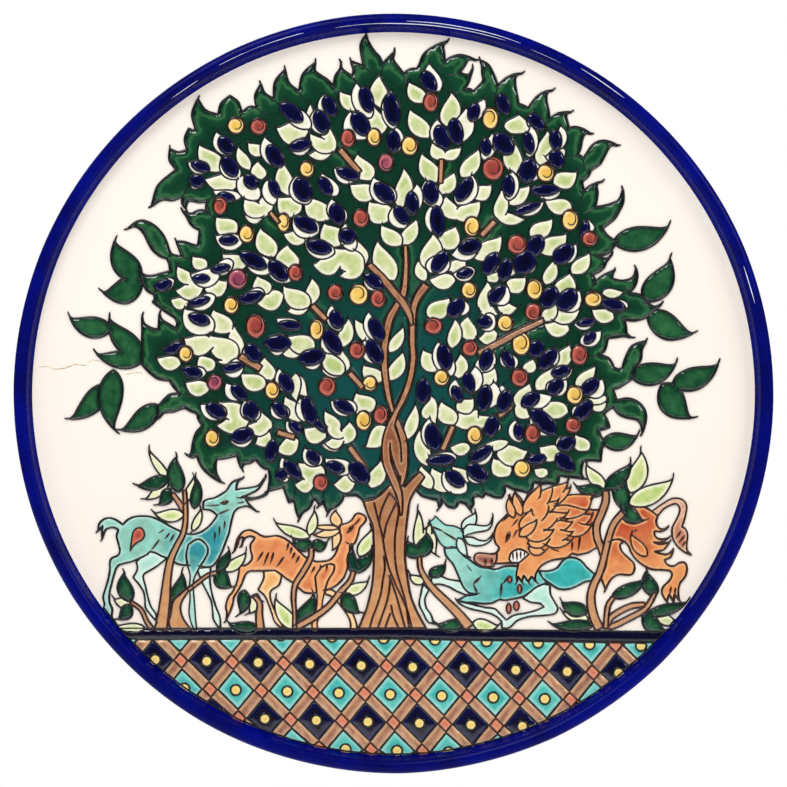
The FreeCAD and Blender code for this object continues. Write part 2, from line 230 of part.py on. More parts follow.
# Olives: centre x, centre z, angle of the long axis, length, width.
OLIVES = [
    (-67.3, 99.8, -55, 7, 4.8), (-77.6, 91.3, -20, 6.5, 3.5), (-78.9, 85.5, -10, 5.2, 4.3),
    (-65.8, 91.3, -60, 8, 4.8), (-57.3, 85.1, -50, 5.5, 4.3), (-47.9, 82.4, -70, 6.5, 3.3),
    (-47.7, 95.4, -60, 8.5, 5), (-37.6, 99.8, 15, 7.5, 4), (-41, 113, -40, 9.5, 5),
    (-29, 109.3, -70, 8, 5), (-25.6, 115.5, -65, 7.5, 4.6), (-36.5, 82, -70, 8.5, 6),
    (-27.4, 83.3, -60, 7, 4), (-67.2, 79, -15, 6, 3), (-10.9, 118.2, -75, 9, 4.5),
    (-13.3, 108.4, -60, 9, 5.5), (-0.6, 114.2, -82, 11, 5.2), (-0.2, 101.3, -90, 7.5, 4.6),
    (14.1, 125.4, -60, 8, 4.6), (19.5, 103, -70, 8.5, 5), (25, 105.3, -80, 9, 4.8),
    (32.2, 113.1, 75, 6.5, 3.8), (-18.3, 88.3, -20, 8, 4), (-3.8, 80.7, -45, 8.5, 5),
    (7.5, 76.5, -85, 8, 4.2), (15, 80.7, -85, 8, 5), (28.5, 82, 60, 9, 4.6),
    (44.2, 116.3, -70, 7.5, 4.3), (44.2, 100.3, -50, 8.5, 6), (37.1, 99.2, -85, 6, 3.4),
    (54.2, 100.7, -80, 7.5, 3.6), (54, 89.6, 80, 8.5, 5.5), (57.4, 109.2, -45, 7, 4.2),
    (65.2, 102, -85, 7, 4), (65.6, 94.2, -75, 6.5, 4.8), (60.9, 81.7, 2, 9.5, 3.8),
    (46.2, 83.5, -88, 7.5, 4), (53.6, 74.4, 20, 9.5, 3), (-66.3, 61.6, 0, 6.2, 3.4),
    (-77.3, 46.2, 0, 5.8, 3), (-69.5, 50.2, 12, 6.5, 3), (-92.6, 43.5, 20, 6, 3.6),
    (-78.1, 36.9, 18, 7.5, 3), (-78.1, 29.9, -20, 7.5, 4), (-56.4, 53.5, -30, 10, 4.8),
    (-46.4, 49.4, -50, 8.5, 5), (-35.3, 68, -30, 8.5, 4.8), (-29.9, 58.9, -15, 8.5, 4.8),
    (-57.2, 38.6, 18, 8.5, 3.8), (-41.5, 27.4, -8, 8, 3.2), (-22.7, 72.1, -75, 7.5, 5),
    (-18.4, 63.4, 0, 5.6, 5.4), (3.2, 71.7, -55, 7, 4.2), (17.7, 69.2, -85, 10.5, 4.6),
    (30.7, 58.9, 15, 7.8, 5), (18.7, 53, 60, 8.5, 4.6), (28.7, 48.3, 15, 5.5, 3.2),
    (-8, 45.2, -40, 7.5, 4.2), (25.1, 34.4, 60, 7.5, 5), (-23, 29.8, -75, 6.5, 4.5),
    (-6.8, 25.7, -65, 8.5, 4.6), (39.1, 52.2, 60, 8.5, 4.6), (44.9, 49.8, 75, 8, 4.2),
    (52.5, 52.7, 50, 8.5, 7), (56.9, 59.3, 60, 8, 5.5), (68.3, 56, 45, 8.5, 5.5),
    (76.8, 65.5, 80, 7, 3), (62.7, 38.6, 60, 8, 5.5), (69.8, 37.7, 55, 8.5, 6),
    (41.6, 39.8, 55, 7.8, 4), (36.6, 28.8, 0, 5, 4.2), (77.6, 28.6, 10, 6.5, 2.6),
    (78.9, 22.4, 50, 5, 3.2), (88.3, 35.6, -15, 8.5, 3.8), (-88.1, 18.3, 25, 7, 3.5),
    (-81, 8.6, -15, 7, 3.8), (-71.5, -6.9, -35, 7.5, 4.5), (-56.4, 16.3, -60, 7, 4.8),
    (-46.6, 20.2, 0, 9, 5.5), (-32.8, 14.6, 12, 9, 5.5), (-64.7, 10.5, 15, 7.5, 3.2),
    (-43.1, 4.2, -65, 7.5, 4.2), (-62.2, 0.5, -50, 6.5, 4), (-57.4, -6.9, 90, 6.5, 5),
    (-60.7, -16.9, 20, 7.5, 5), (-45.6, -6.5, -50, 6.5, 3.8), (-39.4, -13.6, -45, 5.5, 3.2),
    (-34, -7, -75, 10, 4.5), (-32.3, -25.6, -60, 5.5, 4), (-40.6, -30.6, -50, 8, 4),
    (-45.2, -32.7, 60, 4.5, 3.6), (-24.6, 20.7, -60, 9.5, 5), (-7.6, 16.7, -65, 9, 5),
    (-20, -5.3, -30, 7.5, 4), (-23.4, -29.7, -20, 6.5, 4), (-13.8, -31.8, -50, 9, 5.5),
    (11.9, 1, 85, 8.5, 4.6), (20.6, 14.6, -80, 9, 4.8), (30.3, 4.2, -80, 7.5, 3.8),
    (25.6, -0.3, -65, 6, 3.4), (16, -17.7, -78, 9.5, 5.2), (18.9, -26.8, 5, 9.5, 3.6),
    (24.7, -34.3, -40, 7.5, 4.6), (37.2, 13.6, 75, 7.5, 4.2), (36.6, -1.8, 80, 9, 4.8),
    (44.6, -3, 75, 8, 4.4), (46, 13.7, -65, 6.8, 3.6), (61.9, 13.8, 55, 8.5, 4.6),
    (67.3, 8.8, 15, 6.5, 4), (65.2, 2.6, 55, 6.5, 4.4), (78.9, 2.6, 45, 7.5, 4.6),
    (55, -2.6, 35, 7, 4.6), (60.4, -11.5, -45, 11.5, 5.5), (76.2, -7, 50, 8.5, 4.6),
    (39.5, -13.2, 75, 7.5, 4.4), (50.3, -15.2, -85, 5.8, 3.2), (35.1, -24.4, 35, 8.5, 4),
    (33.5, -31.8, -40, 8, 5), (69.5, -20.2, 30, 6.5, 4.8), (57.5, -26.4, 8, 6.5, 3.4),
    (68.9, -27.7, -45, 8, 5), (-48.9, -23.1, 80, 8, 4), (-31, -11.5, -50, 9, 2.5),
    (57.3, 18, 60, 6, 5),
]

# Fruits: centre x, centre z, half width, half height.
YELLOW_FRUITS = [
    (-63.3, 107.7, 3.3, 3.3), (-34.8, 90.2, 2.9, 3.2), (-59, 64.1, 3, 3.5),
    (-44.2, 68.7, 2.6, 3.7), (-7.8, 103, 2.8, 3.5), (6.5, 99.5, 3.3, 3.8), (38.9, 110.5, 3.2, 4.2),
    (61.2, 88.6, 3.4, 3.5), (-65.2, 35.5, 3, 3.4), (-30.9, 25.7, 2.8, 4.1), (-14, 39.8, 3.8, 4.1),
    (31.5, 67.1, 3.1, 3.9), (30.4, 41.5, 3.1, 3.4), (71, 69.7, 3.3, 4.1), (56.7, 41.9, 3.2, 4.1),
    (44.9, 28.2, 3.2, 3.3), (80.3, 37.9, 3.5, 3.1), (-83.5, 15.9, 2.8, 3.2), (-72.8, -18, 3, 3.5),
    (-48.7, 1.3, 2.9, 3.5), (-9.5, 4, 2.9, 3), (-12, -10.9, 3.2, 3.9), (19.3, 6.3, 3.1, 3.2),
    (32.6, -16.9, 3.1, 3.6), (51.3, 20, 3.6, 4.6), (72.8, -0.6, 3.3, 3.7), (51.7, -30.3, 3.4, 3.5),
]

RED_FRUITS = [
    (-54.3, 107.3, 3.2, 3.2), (-69.8, 75.4, 2.8, 3.4), (-18.3, 102.6, 2.9, 3.5),
    (15, 117.1, 2.9, 3.8), (40, 90.4, 4.2, 4.6), (-39.4, 48.5, 2.8, 3.3), (-23.4, 40.6, 3.1, 3.1),
    (-55.4, 27, 3.8, 4.7), (-13.1, 70.5, 3.2, 3.6), (-6.2, 38.1, 3, 3.5), (16, 27.1, 3.6, 3.2),
    (-14.7, 17.4, 3.1, 3.4), (30.7, 18.2, 3.1, 3.2), (49.6, 59.9, 3.8, 3.8),
    (78.9, 62.2, 3.1, 2.9), (56.1, 32.8, 3.2, 3.4), (-26.7, 2.8, 3.4, 3.8),
    (-29.2, -35.8, 2.9, 3.3), (-5.1, -8.6, 2.9, 3.7), (50.7, 6.4, 3.4, 3.6), (74.7, 15.5, 3.3, 4),
    (72.2, -12.7, 3.1, 3), (55.8, -16.1, 2.9, 3.6),
]

PLUM_FRUITS = [
    (-3.1, 92.8, 3, 3.5), (-62.6, 46, 3.9, 3.9), (-71.9, 4.5, 3, 3.1),
]

OUTER_LEAVES_LEFT = [
    (-112, 61.8, -103, 46.3, 7.6), (-117.1, 41, -101.8, 44, 8), (-130.3, 31, -114.4, 25.6, 6.5),
    (-114.3, 30.6, -101.9, 15.6, 6.6), (-119.7, 16.3, -101.5, 13.6, 5.6),
    (-111.9, -14.9, -112.7, 8.2, 7.5), (-130.4, -10.2, -115.6, 2.8, 6.3),
    (-109.9, -14.6, -95, -5.4, 6.2),
]

OUTER_LEAVES_RIGHT = [
    (110.7, 67.6, 89.8, 60.9, 7.5), (111.1, 54.5, 101.6, 38, 8), (120.6, 24.3, 103.1, 31.4, 8),
    (113.6, 12.2, 96.4, 7, 7), (130.7, 12.3, 113.2, 3.6, 7), (120.2, -9.8, 108.5, 3, 8.5),
    (98.2, -16.6, 84.9, -19.6, 5.5),
]

# The trunk below the crown.
TRUNK_EDGE = [
    (-12.2, -43.3, 1), (-10.5, -47.9), (-8.4, -53.2), (-8, -58.2), (-7.8, -64), (-8, -70.2),
    (-8.4, -75.6), (-9.3, -80.6), (-10.9, -86.8), (-12.6, -91), (-14, -94.5, 1), (13.1, -94.3, 1),
    (10.6, -90.1), (8.6, -86), (6.9, -81.4), (5.9, -76.5), (5.2, -71.5), (4.6, -66.1),
    (4.6, -60.7), (5, -54.9), (5.7, -48.7), (6.5, -43.3), (8.4, -39.3, 1), (12.6, -33.6, 1),
    (10.6, -31.4, 1), (7.4, -34.4), (4.6, -37.6, 1), (2, -36, 1), (-1.6, -37, 1), (-5.1, -40.6),
    (-8, -42.6, 1),
]

# Drawn lines that divide the trunk into strands.
TRUNK_LINES = [
    [
        (-7.8, -43.7), (-6.8, -48.3), (-5.5, -53.2), (-4.3, -58.2), (-3.5, -63.6), (-1.8, -70.2),
        (0.7, -76.5), (3.2, -81.8), (5.7, -87.7), (7.3, -94),
    ],
    [
        (-1.4, -39.6), (-3.5, -43.7), (-5.1, -47.9), (-5.7, -51.6),
    ],
    [
        (1.5, -43.3), (-1, -48.3), (-3, -53.2), (-3.9, -58.2),
    ],
    [
        (-3.9, -65), (-3.5, -70.2), (-4.3, -75.2), (-5.1, -80.6), (-6.8, -86), (-8.4, -90.1),
        (-9.5, -94),
    ],
    [
        (-1, -40.4), (1.1, -43.3), (2.1, -47), (1.5, -51.6), (0.7, -56.6), (0.5, -61.9),
        (0.7, -67.3), (1.5, -72.3), (3.2, -78.1), (5, -84.6), (6.2, -94),
    ],
    [
        (-1.8, -73), (1, -81), (3, -88.2), (4.6, -94),
    ],
    [
        (-1.4, -74.4), (-1.8, -79.8), (-3, -84.8), (-4.7, -89.7), (-6.2, -94),
    ],
    [
        (-1, -84.8), (-0.2, -88.9), (1.9, -94),
    ],
    [
        (-1.2, -88.2), (-2.2, -91), (-3.3, -94),
    ],
]

# Strands inside the crown: x, z, width along each.
TRUNK_STRANDS = [
    [
        (13.3, 43.7, 3.2), (9.8, 38.9, 2.8), (8.2, 34.4, 2.6), (7.6, 28, 2.5), (7.6, 20, 2.4),
        (7.9, 13.8, 2.4), (6.6, 5.5, 2.4), (4.1, -1.6, 2.3), (1.2, -7.4, 2.1), (-1.2, -13.2, 3),
        (-2.9, -19.4, 3.2), (-2.6, -27.7, 3.4), (-0.2, -34, 3.2), (2.1, -40, 2.6),
        (2.9, -45, 1.6), (3, -49, 0.8),
    ],
    [
        (4.8, 59.6, 1.7), (5, 50.2, 2), (4, 40.2, 2.6), (1.9, 36.2, 2.4), (-1.4, 30.3, 3),
        (-3.2, 22, 2.7), (-3.8, 14, 2.8), (-3.1, 5.5, 2.5), (-1.9, -1.6, 2.2),
        (-0.2, -7.4, 1.8), (2.2, -13.2, 2.4), (4.1, -19.4, 2.8), (4.5, -27.7, 2.6),
        (4, -33, 2.2), (3.2, -37, 1.4),
    ],
    [
        (0.3, -13.6, 0.6), (0.4, -18, 3.4), (0.9, -22, 4.4), (1.6, -27, 3.4), (2.6, -33, 0.8),
    ],
]

BRANCHES = [
    [
        (-9.9, 51.9, 2.4), (-4.5, 46.5, 2.7), (0.3, 40.6, 2.8), (4, 36.2, 2.8),
        (6.4, 31.8, 2.4), (7.4, 27.5, 1.2),
    ],
    [
        (60.5, 29.6, 2), (51, 25, 2.4), (41.6, 20, 2.6), (34, 16, 2.4),
    ],
]

FRUIT_STEMS = [
    (-32.8, 35.4, -27, 29.6, 2.2), (-49.7, 73, -46, 68.5, 1.8), (-21.6, 98.1, -13.6, 88.8, 2.4),
    (19.3, 94.2, 18.9, 84.5, 1.9), (40.8, 69.3, 35.2, 63.3, 2.2), (-61.8, 15, -53.3, 10, 2.8),
    (-46.9, -15.5, -39.6, -17.7, 2.2), (-17.8, 8.4, -12.2, 2.2, 2.2),
    (-17.8, -21.3, -10.8, -30.8, 2.2), (24, -13, 19.7, -22.8, 2.2), (47.4, -5, 42.2, -9.4, 2),
]

# The two blue-green deer, the orange doe and the lion.
BUCK = [
    (-108.8, -52.8, 1), (-107.1, -51), (-104.6, -49.7), (-100.9, -49.3), (-97.2, -49.7),
    (-93, -51.6), (-88.9, -53.9), (-82.7, -56.5), (-79.3, -56.4), (-76.4, -55.1), (-74, -53.2),
    (-72.3, -51.2), (-70.8, -49, 1), (-73.4, -47), (-76.5, -46.5, 1), (-76.5, -44.5),
    (-76.1, -43.3), (-74.6, -42.5), (-72.1, -42), (-69.7, -40.8), (-67.2, -39.1), (-65.9, -37.1),
    (-64.3, -35.4), (-60.1, -33.8, 1), (-62.6, -35.6), (-63.4, -38.8, 1), (-61.5, -38.3),
    (-58, -37.9), (-54.3, -36.9), (-51.3, -33.4, 1), (-54.3, -38.3), (-58, -40.4),
    (-61.3, -41.6, 1), (-57.6, -42), (-54.3, -41.6), (-51.5, -40.2), (-49.8, -38.5, 1),
    (-51.5, -40.9), (-56.8, -42.6), (-59.5, -42.6, 1), (-58, -44.6), (-55, -47.5, 1),
    (-58.5, -45.4), (-61.8, -45.8), (-63.9, -47.4), (-64.7, -49.5), (-65.5, -52.8), (-66.3, -56.6),
    (-67.6, -59.9), (-68.8, -63.2), (-70.5, -66.5), (-72.6, -69.2), (-74.5, -69.8, 1),
    (-78, -69.6), (-83.5, -69), (-86.8, -68.5), (-89, -67.2), (-91.4, -66.1), (-93.4, -65.3),
    (-95.9, -64), (-98, -63.6, 1), (-99.2, -64.8), (-105.1, -67.5), (-108.8, -68.4),
    (-110.9, -69.4), (-112.1, -71.9), (-113.1, -75.6), (-114.2, -80.2), (-114.2, -83.9),
    (-113.1, -86.8), (-113.3, -89.7), (-112.6, -95, 1), (-114.2, -93.5, 1), (-114.2, -90.1),
    (-116.5, -86.8), (-116.2, -84.8), (-116.7, -81.8), (-115.8, -78.5), (-114.6, -74.4),
    (-114, -70.7), (-114, -67.8), (-113.3, -66.3), (-110.6, -64.9), (-110, -63.2), (-110.6, -60.3),
    (-111.3, -57.4), (-110.6, -54.9, 1), (-111.7, -54.1), (-113.8, -53.9), (-115.8, -54.9),
    (-117.1, -58.6, 1), (-117.2, -55.2), (-116.8, -53, 1), (-118.8, -55.4, 1), (-118.3, -52.4),
    (-116.2, -50.5), (-113.8, -50.1), (-111.3, -51),
]

BUCK_FAR_LEG = [
    (-103.4, -67.6, 1), (-103, -70.7), (-104.7, -74, 1), (-102.2, -76.9), (-100.5, -79.8),
    (-99.9, -83.1), (-99.7, -86), (-98, -88.5), (-95.6, -91.4, 1), (-95.5, -88.9), (-97.6, -85.6),
    (-98.8, -81.8), (-99.7, -77.7), (-100.7, -73.6), (-100.2, -72.4, 1), (-96.3, -70.2),
    (-93, -67.8), (-91.2, -66.2, 1), (-97.5, -62, 1),
]

BUCK_FORELEG = [
    (-82.5, -60.7, 1), (-83.3, -64.9), (-82.7, -69.4), (-81.8, -73.1), (-82, -77.3),
    (-81.8, -82.7), (-82.2, -87.7), (-81.6, -91.4), (-80, -95.1), (-79.3, -94.8), (-79.6, -90.6),
    (-80, -84.8), (-80.4, -79.8), (-80.4, -75.2), (-78.9, -71.5), (-77.7, -69.4), (-75.6, -66.1),
    (-74.6, -63.6), (-75.2, -61), (-78.5, -58.6),
]

BUCK_FAR_FORELEG = [
    (-78.5, -70.2, 1), (-78.5, -71.9), (-76.9, -76), (-74.8, -80.2), (-73.3, -83.5),
    (-72.7, -87.7), (-72.3, -91), (-69.6, -95, 1), (-69.8, -90.1), (-71.5, -85.6), (-72.9, -81),
    (-73.8, -75.6), (-73.5, -69.8, 1),
]

BUCK_FLANK_SPOT = [
    (-105.9, -63.4, 1), (-105.3, -59), (-104.6, -55.7), (-103, -54.1), (-101.1, -54.3),
    (-100.1, -56.6), (-100.9, -58.6), (-103, -59.9), (-104.8, -61.5),
]

DOE = [
    (-55.2, -55.9, 1), (-53.5, -57), (-51.8, -57.6), (-49.3, -57.4), (-46.9, -57.2), (-44, -58.2),
    (-41.1, -60.3), (-38.2, -63.2), (-35.2, -65.9), (-31.5, -67.5), (-28.6, -67.5), (-25.7, -66.9),
    (-23.6, -64.9), (-22.4, -61.9), (-22, -59), (-22.1, -55.7, 1), (-21.3, -52.8, 1), (-18.4, -52),
    (-16.7, -50.8), (-15.3, -48.7), (-14, -48.2), (-11.8, -49.1), (-11.1, -50.5), (-11.8, -52),
    (-13.6, -54.1), (-14.2, -56.6), (-15.5, -59.9), (-16.7, -60.9), (-17.6, -61.1, 1),
    (-17.6, -64), (-18.2, -67.3), (-18.6, -70.2), (-19.8, -73.6), (-21.7, -76), (-24.2, -77.9),
    (-27.4, -79, 1), (-32.3, -80.2), (-35.7, -80), (-37.7, -78.5), (-39, -77.6), (-40.6, -76),
    (-43.1, -74.4), (-45.2, -72.7), (-47.7, -71.1, 1), (-51.8, -71.3), (-55.1, -71.3),
    (-58.1, -71.5), (-59.7, -73.1), (-61, -76.5), (-62.6, -79.4), (-64.1, -81.8), (-64.7, -84.8),
    (-65.9, -88.1), (-67.4, -91.6, 1), (-67, -88.1), (-67.4, -85.6), (-66.3, -81.8),
    (-64.7, -79.8), (-63, -76), (-62.2, -72.3), (-61.8, -69, 1), (-60.1, -69.2), (-58.1, -68.2),
    (-56.8, -66.1), (-57.4, -63.2), (-57.4, -60.7), (-56, -58.6), (-55.8, -57.8, 1),
    (-58.1, -57.4), (-60.1, -58.6), (-61.2, -61.9, 1), (-60.5, -57.9), (-61.8, -58.2),
    (-62.8, -61.1), (-64.1, -63.7, 1), (-63.4, -60.7), (-62.6, -58.2), (-60.5, -55.7),
    (-58, -54.9),
]

DOE_EARS = [
    (-23, -46.8, -22.3, -53.2, 3.4), (-33, -53, -22.5, -54, 1.6), (-32.6, -56.6, -22, -55.1, 2.6),
    (-24.8, -63.2, -22.5, -55.3, 2.8),
]

DOE_FAR_LEG = [
    (-52.2, -71.2, 1), (-52.2, -74.4), (-54.4, -78.9, 1), (-51.8, -81.4), (-50.2, -84.8),
    (-48.9, -88.5), (-47.7, -91.8), (-44.4, -94.9, 1), (-44.8, -93), (-46.4, -89.7),
    (-48.5, -85.6), (-49.6, -81.8), (-49.3, -79.4), (-46, -76.9), (-45, -73.2, 1),
    (-47.7, -70.8, 1),
]

DOE_FAR_FORELEG = [
    (-27.3, -79.2, 1), (-25, -78.9), (-21.7, -81.4), (-18, -86), (-15.5, -90.6), (-14.5, -94.9, 1),
    (-17.1, -94.9, 1), (-17.4, -91.8), (-18.4, -89.3), (-21.3, -85.2), (-24.6, -81.8),
    (-27.5, -80.6, 1),
]

DOE_FORELEG = [
    (-31.5, -73.6, 1), (-31.1, -77.7), (-30.7, -81.4), (-30.9, -86), (-31.9, -90.1), (-32.8, -93),
    (-32.2, -95.1), (-30.7, -95.1), (-30.7, -92.2), (-29, -87.2), (-28.4, -82.7), (-27.4, -78.5),
    (-26.1, -74.8), (-24.1, -71.5), (-24.2, -68.8), (-28.5, -69.6),
]

GAZELLE_HEAD = [
    (16.8, -49.2, 1), (19.3, -51.6), (21, -52.8), (24.7, -53.4), (27.4, -54.7, 1), (28.1, -57.8),
    (26.6, -61.9, 1), (23.9, -61.9), (21, -61.9), (18.9, -60.3), (17.3, -57.4), (16.4, -55.3),
    (14.6, -53.2, 1), (13.9, -52.4), (14.8, -51.3), (16, -50.5),
]

GAZELLE_HORN_UPPER = [
    (28.1, -57.8, 1), (30, -56.6, 1), (33.7, -55.7), (37.8, -54.9), (39.5, -52.8),
    (40.1, -48.7, 1), (38.7, -52.4), (36.6, -53.2), (32.9, -52.8), (30, -52.8), (28, -54.6, 1),
]

GAZELLE_HORN_LOWER = [
    (28.1, -57.8, 1), (31.6, -57.8), (34.5, -59), (37.4, -59), (39.8, -56.8, 1), (39.1, -59),
    (36.6, -60.7), (33.3, -61.3), (30, -60.7, 1),
]

GAZELLE = [
    (20.4, -62.2, 1), (21, -64.9), (23.9, -68.6), (26, -73.1), (27.6, -76.9), (30.1, -80),
    (33.8, -80.8, 1), (29.3, -81.3, 1), (25.4, -83.3, 1), (28.5, -83.9), (31.6, -84, 1),
    (36.6, -84.5), (39.9, -84.1), (42.4, -82.9), (44.9, -83.1), (48.2, -82.5), (51.5, -81.8),
    (54.4, -80.2), (57.3, -77.9), (59.8, -76.7, 1), (62, -75.9, 1), (60.2, -74.4), (58.6, -72, 1),
    (58, -70.5, 1), (52, -70), (49.5, -69.5), (45, -69.5), (40.7, -70.7), (38.2, -70.2),
    (35.3, -69.8), (32.9, -68.6), (30.4, -66.7), (27.9, -64.9), (26.6, -61.9, 1),
]

GAZELLE_HAUNCH = [
    (58.6, -71.3, 1), (62, -71.4), (65.6, -70.2), (68.5, -66.9), (71.4, -65.9), (75.1, -67.1),
    (78, -70.2), (80.8, -72.6, 1), (79.7, -75.2, 1), (76.8, -75.8), (73.1, -77.7), (69.8, -78.7),
    (66.4, -78.5), (63.1, -76.5), (60.2, -74.4),
]

GAZELLE_HIND_LEG = [
    (62.9, -77, 1), (63.1, -80.6), (64.8, -83.9), (66, -86.4), (64.8, -88.5), (59.8, -89.3),
    (54.8, -89.7), (49.9, -91.2), (46.9, -93.9), (44.3, -94.6, 1), (44.6, -91.8, 1), (48.2, -89.3),
    (53.2, -88.3), (57.3, -87.2), (60.6, -85.8, 1), (59, -84.5), (55.2, -83.9), (51.9, -82.2, 1),
    (54.4, -80.3, 1), (57.3, -78), (60.5, -76.6, 1),
]

GAZELLE_FAR_FORELEG = [
    (15.2, -72.9, 1), (18.1, -73.1), (21.8, -74.6), (26, -75.4), (27.2, -75.6, 1), (28.6, -78.5),
    (33.6, -80.8, 1), (29.3, -81, 1), (25.6, -79.6), (22.2, -77.7), (18.5, -76.7),
    (15.2, -76.9, 1),
]

GAZELLE_FAR_SHANK = [
    (11.9, -76.6, 1), (11, -80.6), (10.4, -84.8), (11.9, -88.1), (13.9, -91.8), (16, -92.6, 1),
    (15.6, -90.5), (14.8, -88.5), (13.1, -86), (12.7, -82.3), (14.2, -79, 1),
]

GAZELLE_NEAR_FORELEG = [
    (25.4, -83.3, 1), (27, -84.8), (30.4, -86.4), (35.8, -87.7), (39.9, -88.9), (43.2, -91.4),
    (43.6, -94.3, 1), (45, -94.3, 1), (45.4, -91.2, 1), (42.8, -88.5), (40.7, -86.6), (36.6, -86),
    (31.6, -84.8),
]

GAZELLE_EARS = [
    (33, -47.4, 28, -54.3, 3.6), (30.2, -65.7, 26.2, -58.5, 2.8),
]

GAZELLE_SPOTS = [
    (46.7, -74.8, 0.8, 1.2), (50.7, -78.5, 0.8, 1.7), (46.3, -86.4, 0.9, 2),
    (49.4, -85.4, 1.1, 1.8),
]

LION = [
    (32.4, -66.9, 1), (32.9, -64.9), (34.5, -64.2), (37.4, -64.2), (39.9, -64.6), (41.8, -63.6),
    (42.4, -61.9), (41.1, -60.3), (40.5, -57.8), (40.7, -55.3), (42, -52.4), (44.5, -49.9),
    (46.5, -47.4), (47.4, -45.4), (46.7, -41.6, 1), (48.6, -43.7), (49.8, -45.8, 1), (49.8, -43),
    (49, -40, 1), (51.1, -42), (52.3, -44.5, 1), (54.4, -40.4), (59, -37.3, 1), (58.8, -39),
    (58.3, -40.8, 1), (61.5, -40), (65.6, -38.7), (70.2, -35.2, 1), (69.5, -38.3),
    (69.8, -41.2, 1), (73.9, -41.4), (78, -41.2), (80.9, -40.8, 1), (79.3, -43.3),
    (77.6, -46.2, 1), (80.1, -46.8), (83, -46.8), (85.7, -47), (87.3, -46), (90.2, -45.4),
    (94, -45), (97.7, -45.2), (100.6, -45.6), (103.9, -47.4, 1), (106.2, -49.2, 1), (105.6, -51.6),
    (106.4, -53.7), (108.1, -54.6), (110.6, -53.7, 1), (108, -55.4), (104.8, -55.3, 1),
    (105.2, -57.4), (107.2, -58.6), (110.6, -58.2, 1), (107.2, -59.9), (104.3, -59.7, 1),
    (107, -60.6), (111, -59.9, 1), (108.5, -62.8), (104.8, -63.6, 1), (107.2, -64.4),
    (110.1, -64.6), (112.6, -62.8, 1), (111.4, -65.7), (108.9, -66.9, 1), (110.1, -68.8),
    (112.6, -69.4), (115.1, -68), (117.2, -68.2), (118, -70.7), (117.2, -73.6), (115.1, -76.5),
    (114.5, -79.8), (114.9, -83.3, 1), (112.9, -80.5, 1), (112.6, -83.9, 1), (110.8, -80.5, 1),
    (109.9, -83.9, 1), (107.9, -80.2), (108.5, -77.7), (111, -75.2), (112, -72.7), (111, -71.3),
    (107.2, -70.9), (103.9, -70.7), (101, -69.4), (97.7, -66.9), (95.6, -64), (94.4, -61.1),
    (92.7, -59.5), (90.7, -58.6), (88.6, -58.8, 1), (86.5, -60), (83.5, -61.5), (80.9, -62.4),
    (78, -64), (73.9, -64.9, 1), (71.8, -64.2, 1), (69.8, -65.9), (63.5, -67.1), (59.8, -69),
    (57.7, -71.5), (57, -74), (57.3, -75.8, 1), (55.5, -73.5, 1), (54.2, -75.8, 1), (52.3, -73, 1),
    (51.6, -76, 1), (50.2, -73.5, 1), (49.6, -76, 1), (49.4, -72.5), (49.8, -70.5, 1),
    (50.3, -68.2, 1), (48.2, -68.2), (44.9, -68.2), (40.7, -68.4, 1), (38.3, -70.2), (35.5, -69.4),
    (33.6, -68.6),
]

LION_TAIL = [
    (103.9, -47.4, 1), (107.2, -45), (111.4, -42.5), (113.9, -42.1), (116.4, -42.9), (117.8, -45),
    (117.6, -47.9), (116.8, -51.2), (115.9, -53.7, 1), (117.2, -54.3), (118.2, -56.6),
    (118, -59.9), (118, -62.8), (119.8, -65, 1), (116.8, -63.6), (114.3, -61.5), (112.6, -59),
    (112, -56.6), (112.2, -53.7), (113.5, -51.2), (114.7, -48.7), (115.1, -46.2), (113.9, -44.5),
    (111.8, -44.7), (108.9, -46.2), (106.2, -49.2, 1),
]

LION_HIND_LEG = [
    (86.3, -60, 1), (88.6, -58.8), (90.7, -58.7), (92.6, -59.6, 1), (91.2, -60.6), (91.1, -61.8),
    (91.9, -63.6), (94.4, -66.1), (96.5, -68.2), (96.9, -70.7), (95.6, -72.8), (90.7, -72.8),
    (88.2, -74), (86.4, -76.3), (85.3, -79, 1), (84.2, -76), (83.4, -74, 1), (85.2, -70),
    (86, -65),
]

LION_MUZZLE = [
    (41.6, -64, 1), (39.9, -64.6), (36.6, -64.2), (33.3, -64.4), (32.4, -66.5), (33.7, -68.4),
    (36.6, -69.6), (40.2, -69.6, 1), (41.4, -67),
]

LION_TEETH = [
    (46.5, -66.5, 1), (47.4, -64), (50.3, -62.6), (53.2, -63.6), (54.4, -64.7, 1), (52.3, -66.5),
    (50.3, -68), (47.4, -68, 1),
]

# Locks of the mane, each over the next, and the flame on the flank.
LION_MANE_LOCKS = [
    (46.6, -41.6, 48.2, -49.5, 2.6), (57.6, -50.4, 51, -57, 3), (55.4, -46.2, 51.2, -54, 3.2),
    (48.9, -39.4, 51.2, -48.5, 2.8), (59, -35.8, 52.5, -47.5, 3.6),
    (62.6, -45.4, 53.2, -51.6, 3.8), (66, -50, 54, -54.2, 3.8), (64.6, -54.4, 54, -57.8, 3.8),
    (63, -58.2, 54.4, -60.2, 3.4), (64, -38.5, 54.6, -46.5, 3.8), (61.2, -63, 54.6, -62, 3.2),
    (66.5, -42.4, 54.8, -48.6, 4), (70.4, -47.6, 56.6, -50.4, 3.8), (70.4, -34.8, 57, -43.6, 4.6),
    (72.4, -55.2, 60.4, -57.2, 4), (71.4, -37.2, 60.5, -44.4, 3.8),
    (71.8, -58.8, 60.8, -59.6, 3.4), (72.2, -51.2, 61, -53.6, 4), (78.6, -46.6, 64, -47, 4.2),
    (80.9, -40.1, 66.5, -44.2, 4.4), (79.9, -52.4, 69, -55.2, 4.2), (79.8, -41.6, 70, -48.2, 4.6),
    (80.2, -48.2, 70, -51.4, 4.4), (95.6, -56.1, 101.4, -64.9, 3.4),
]

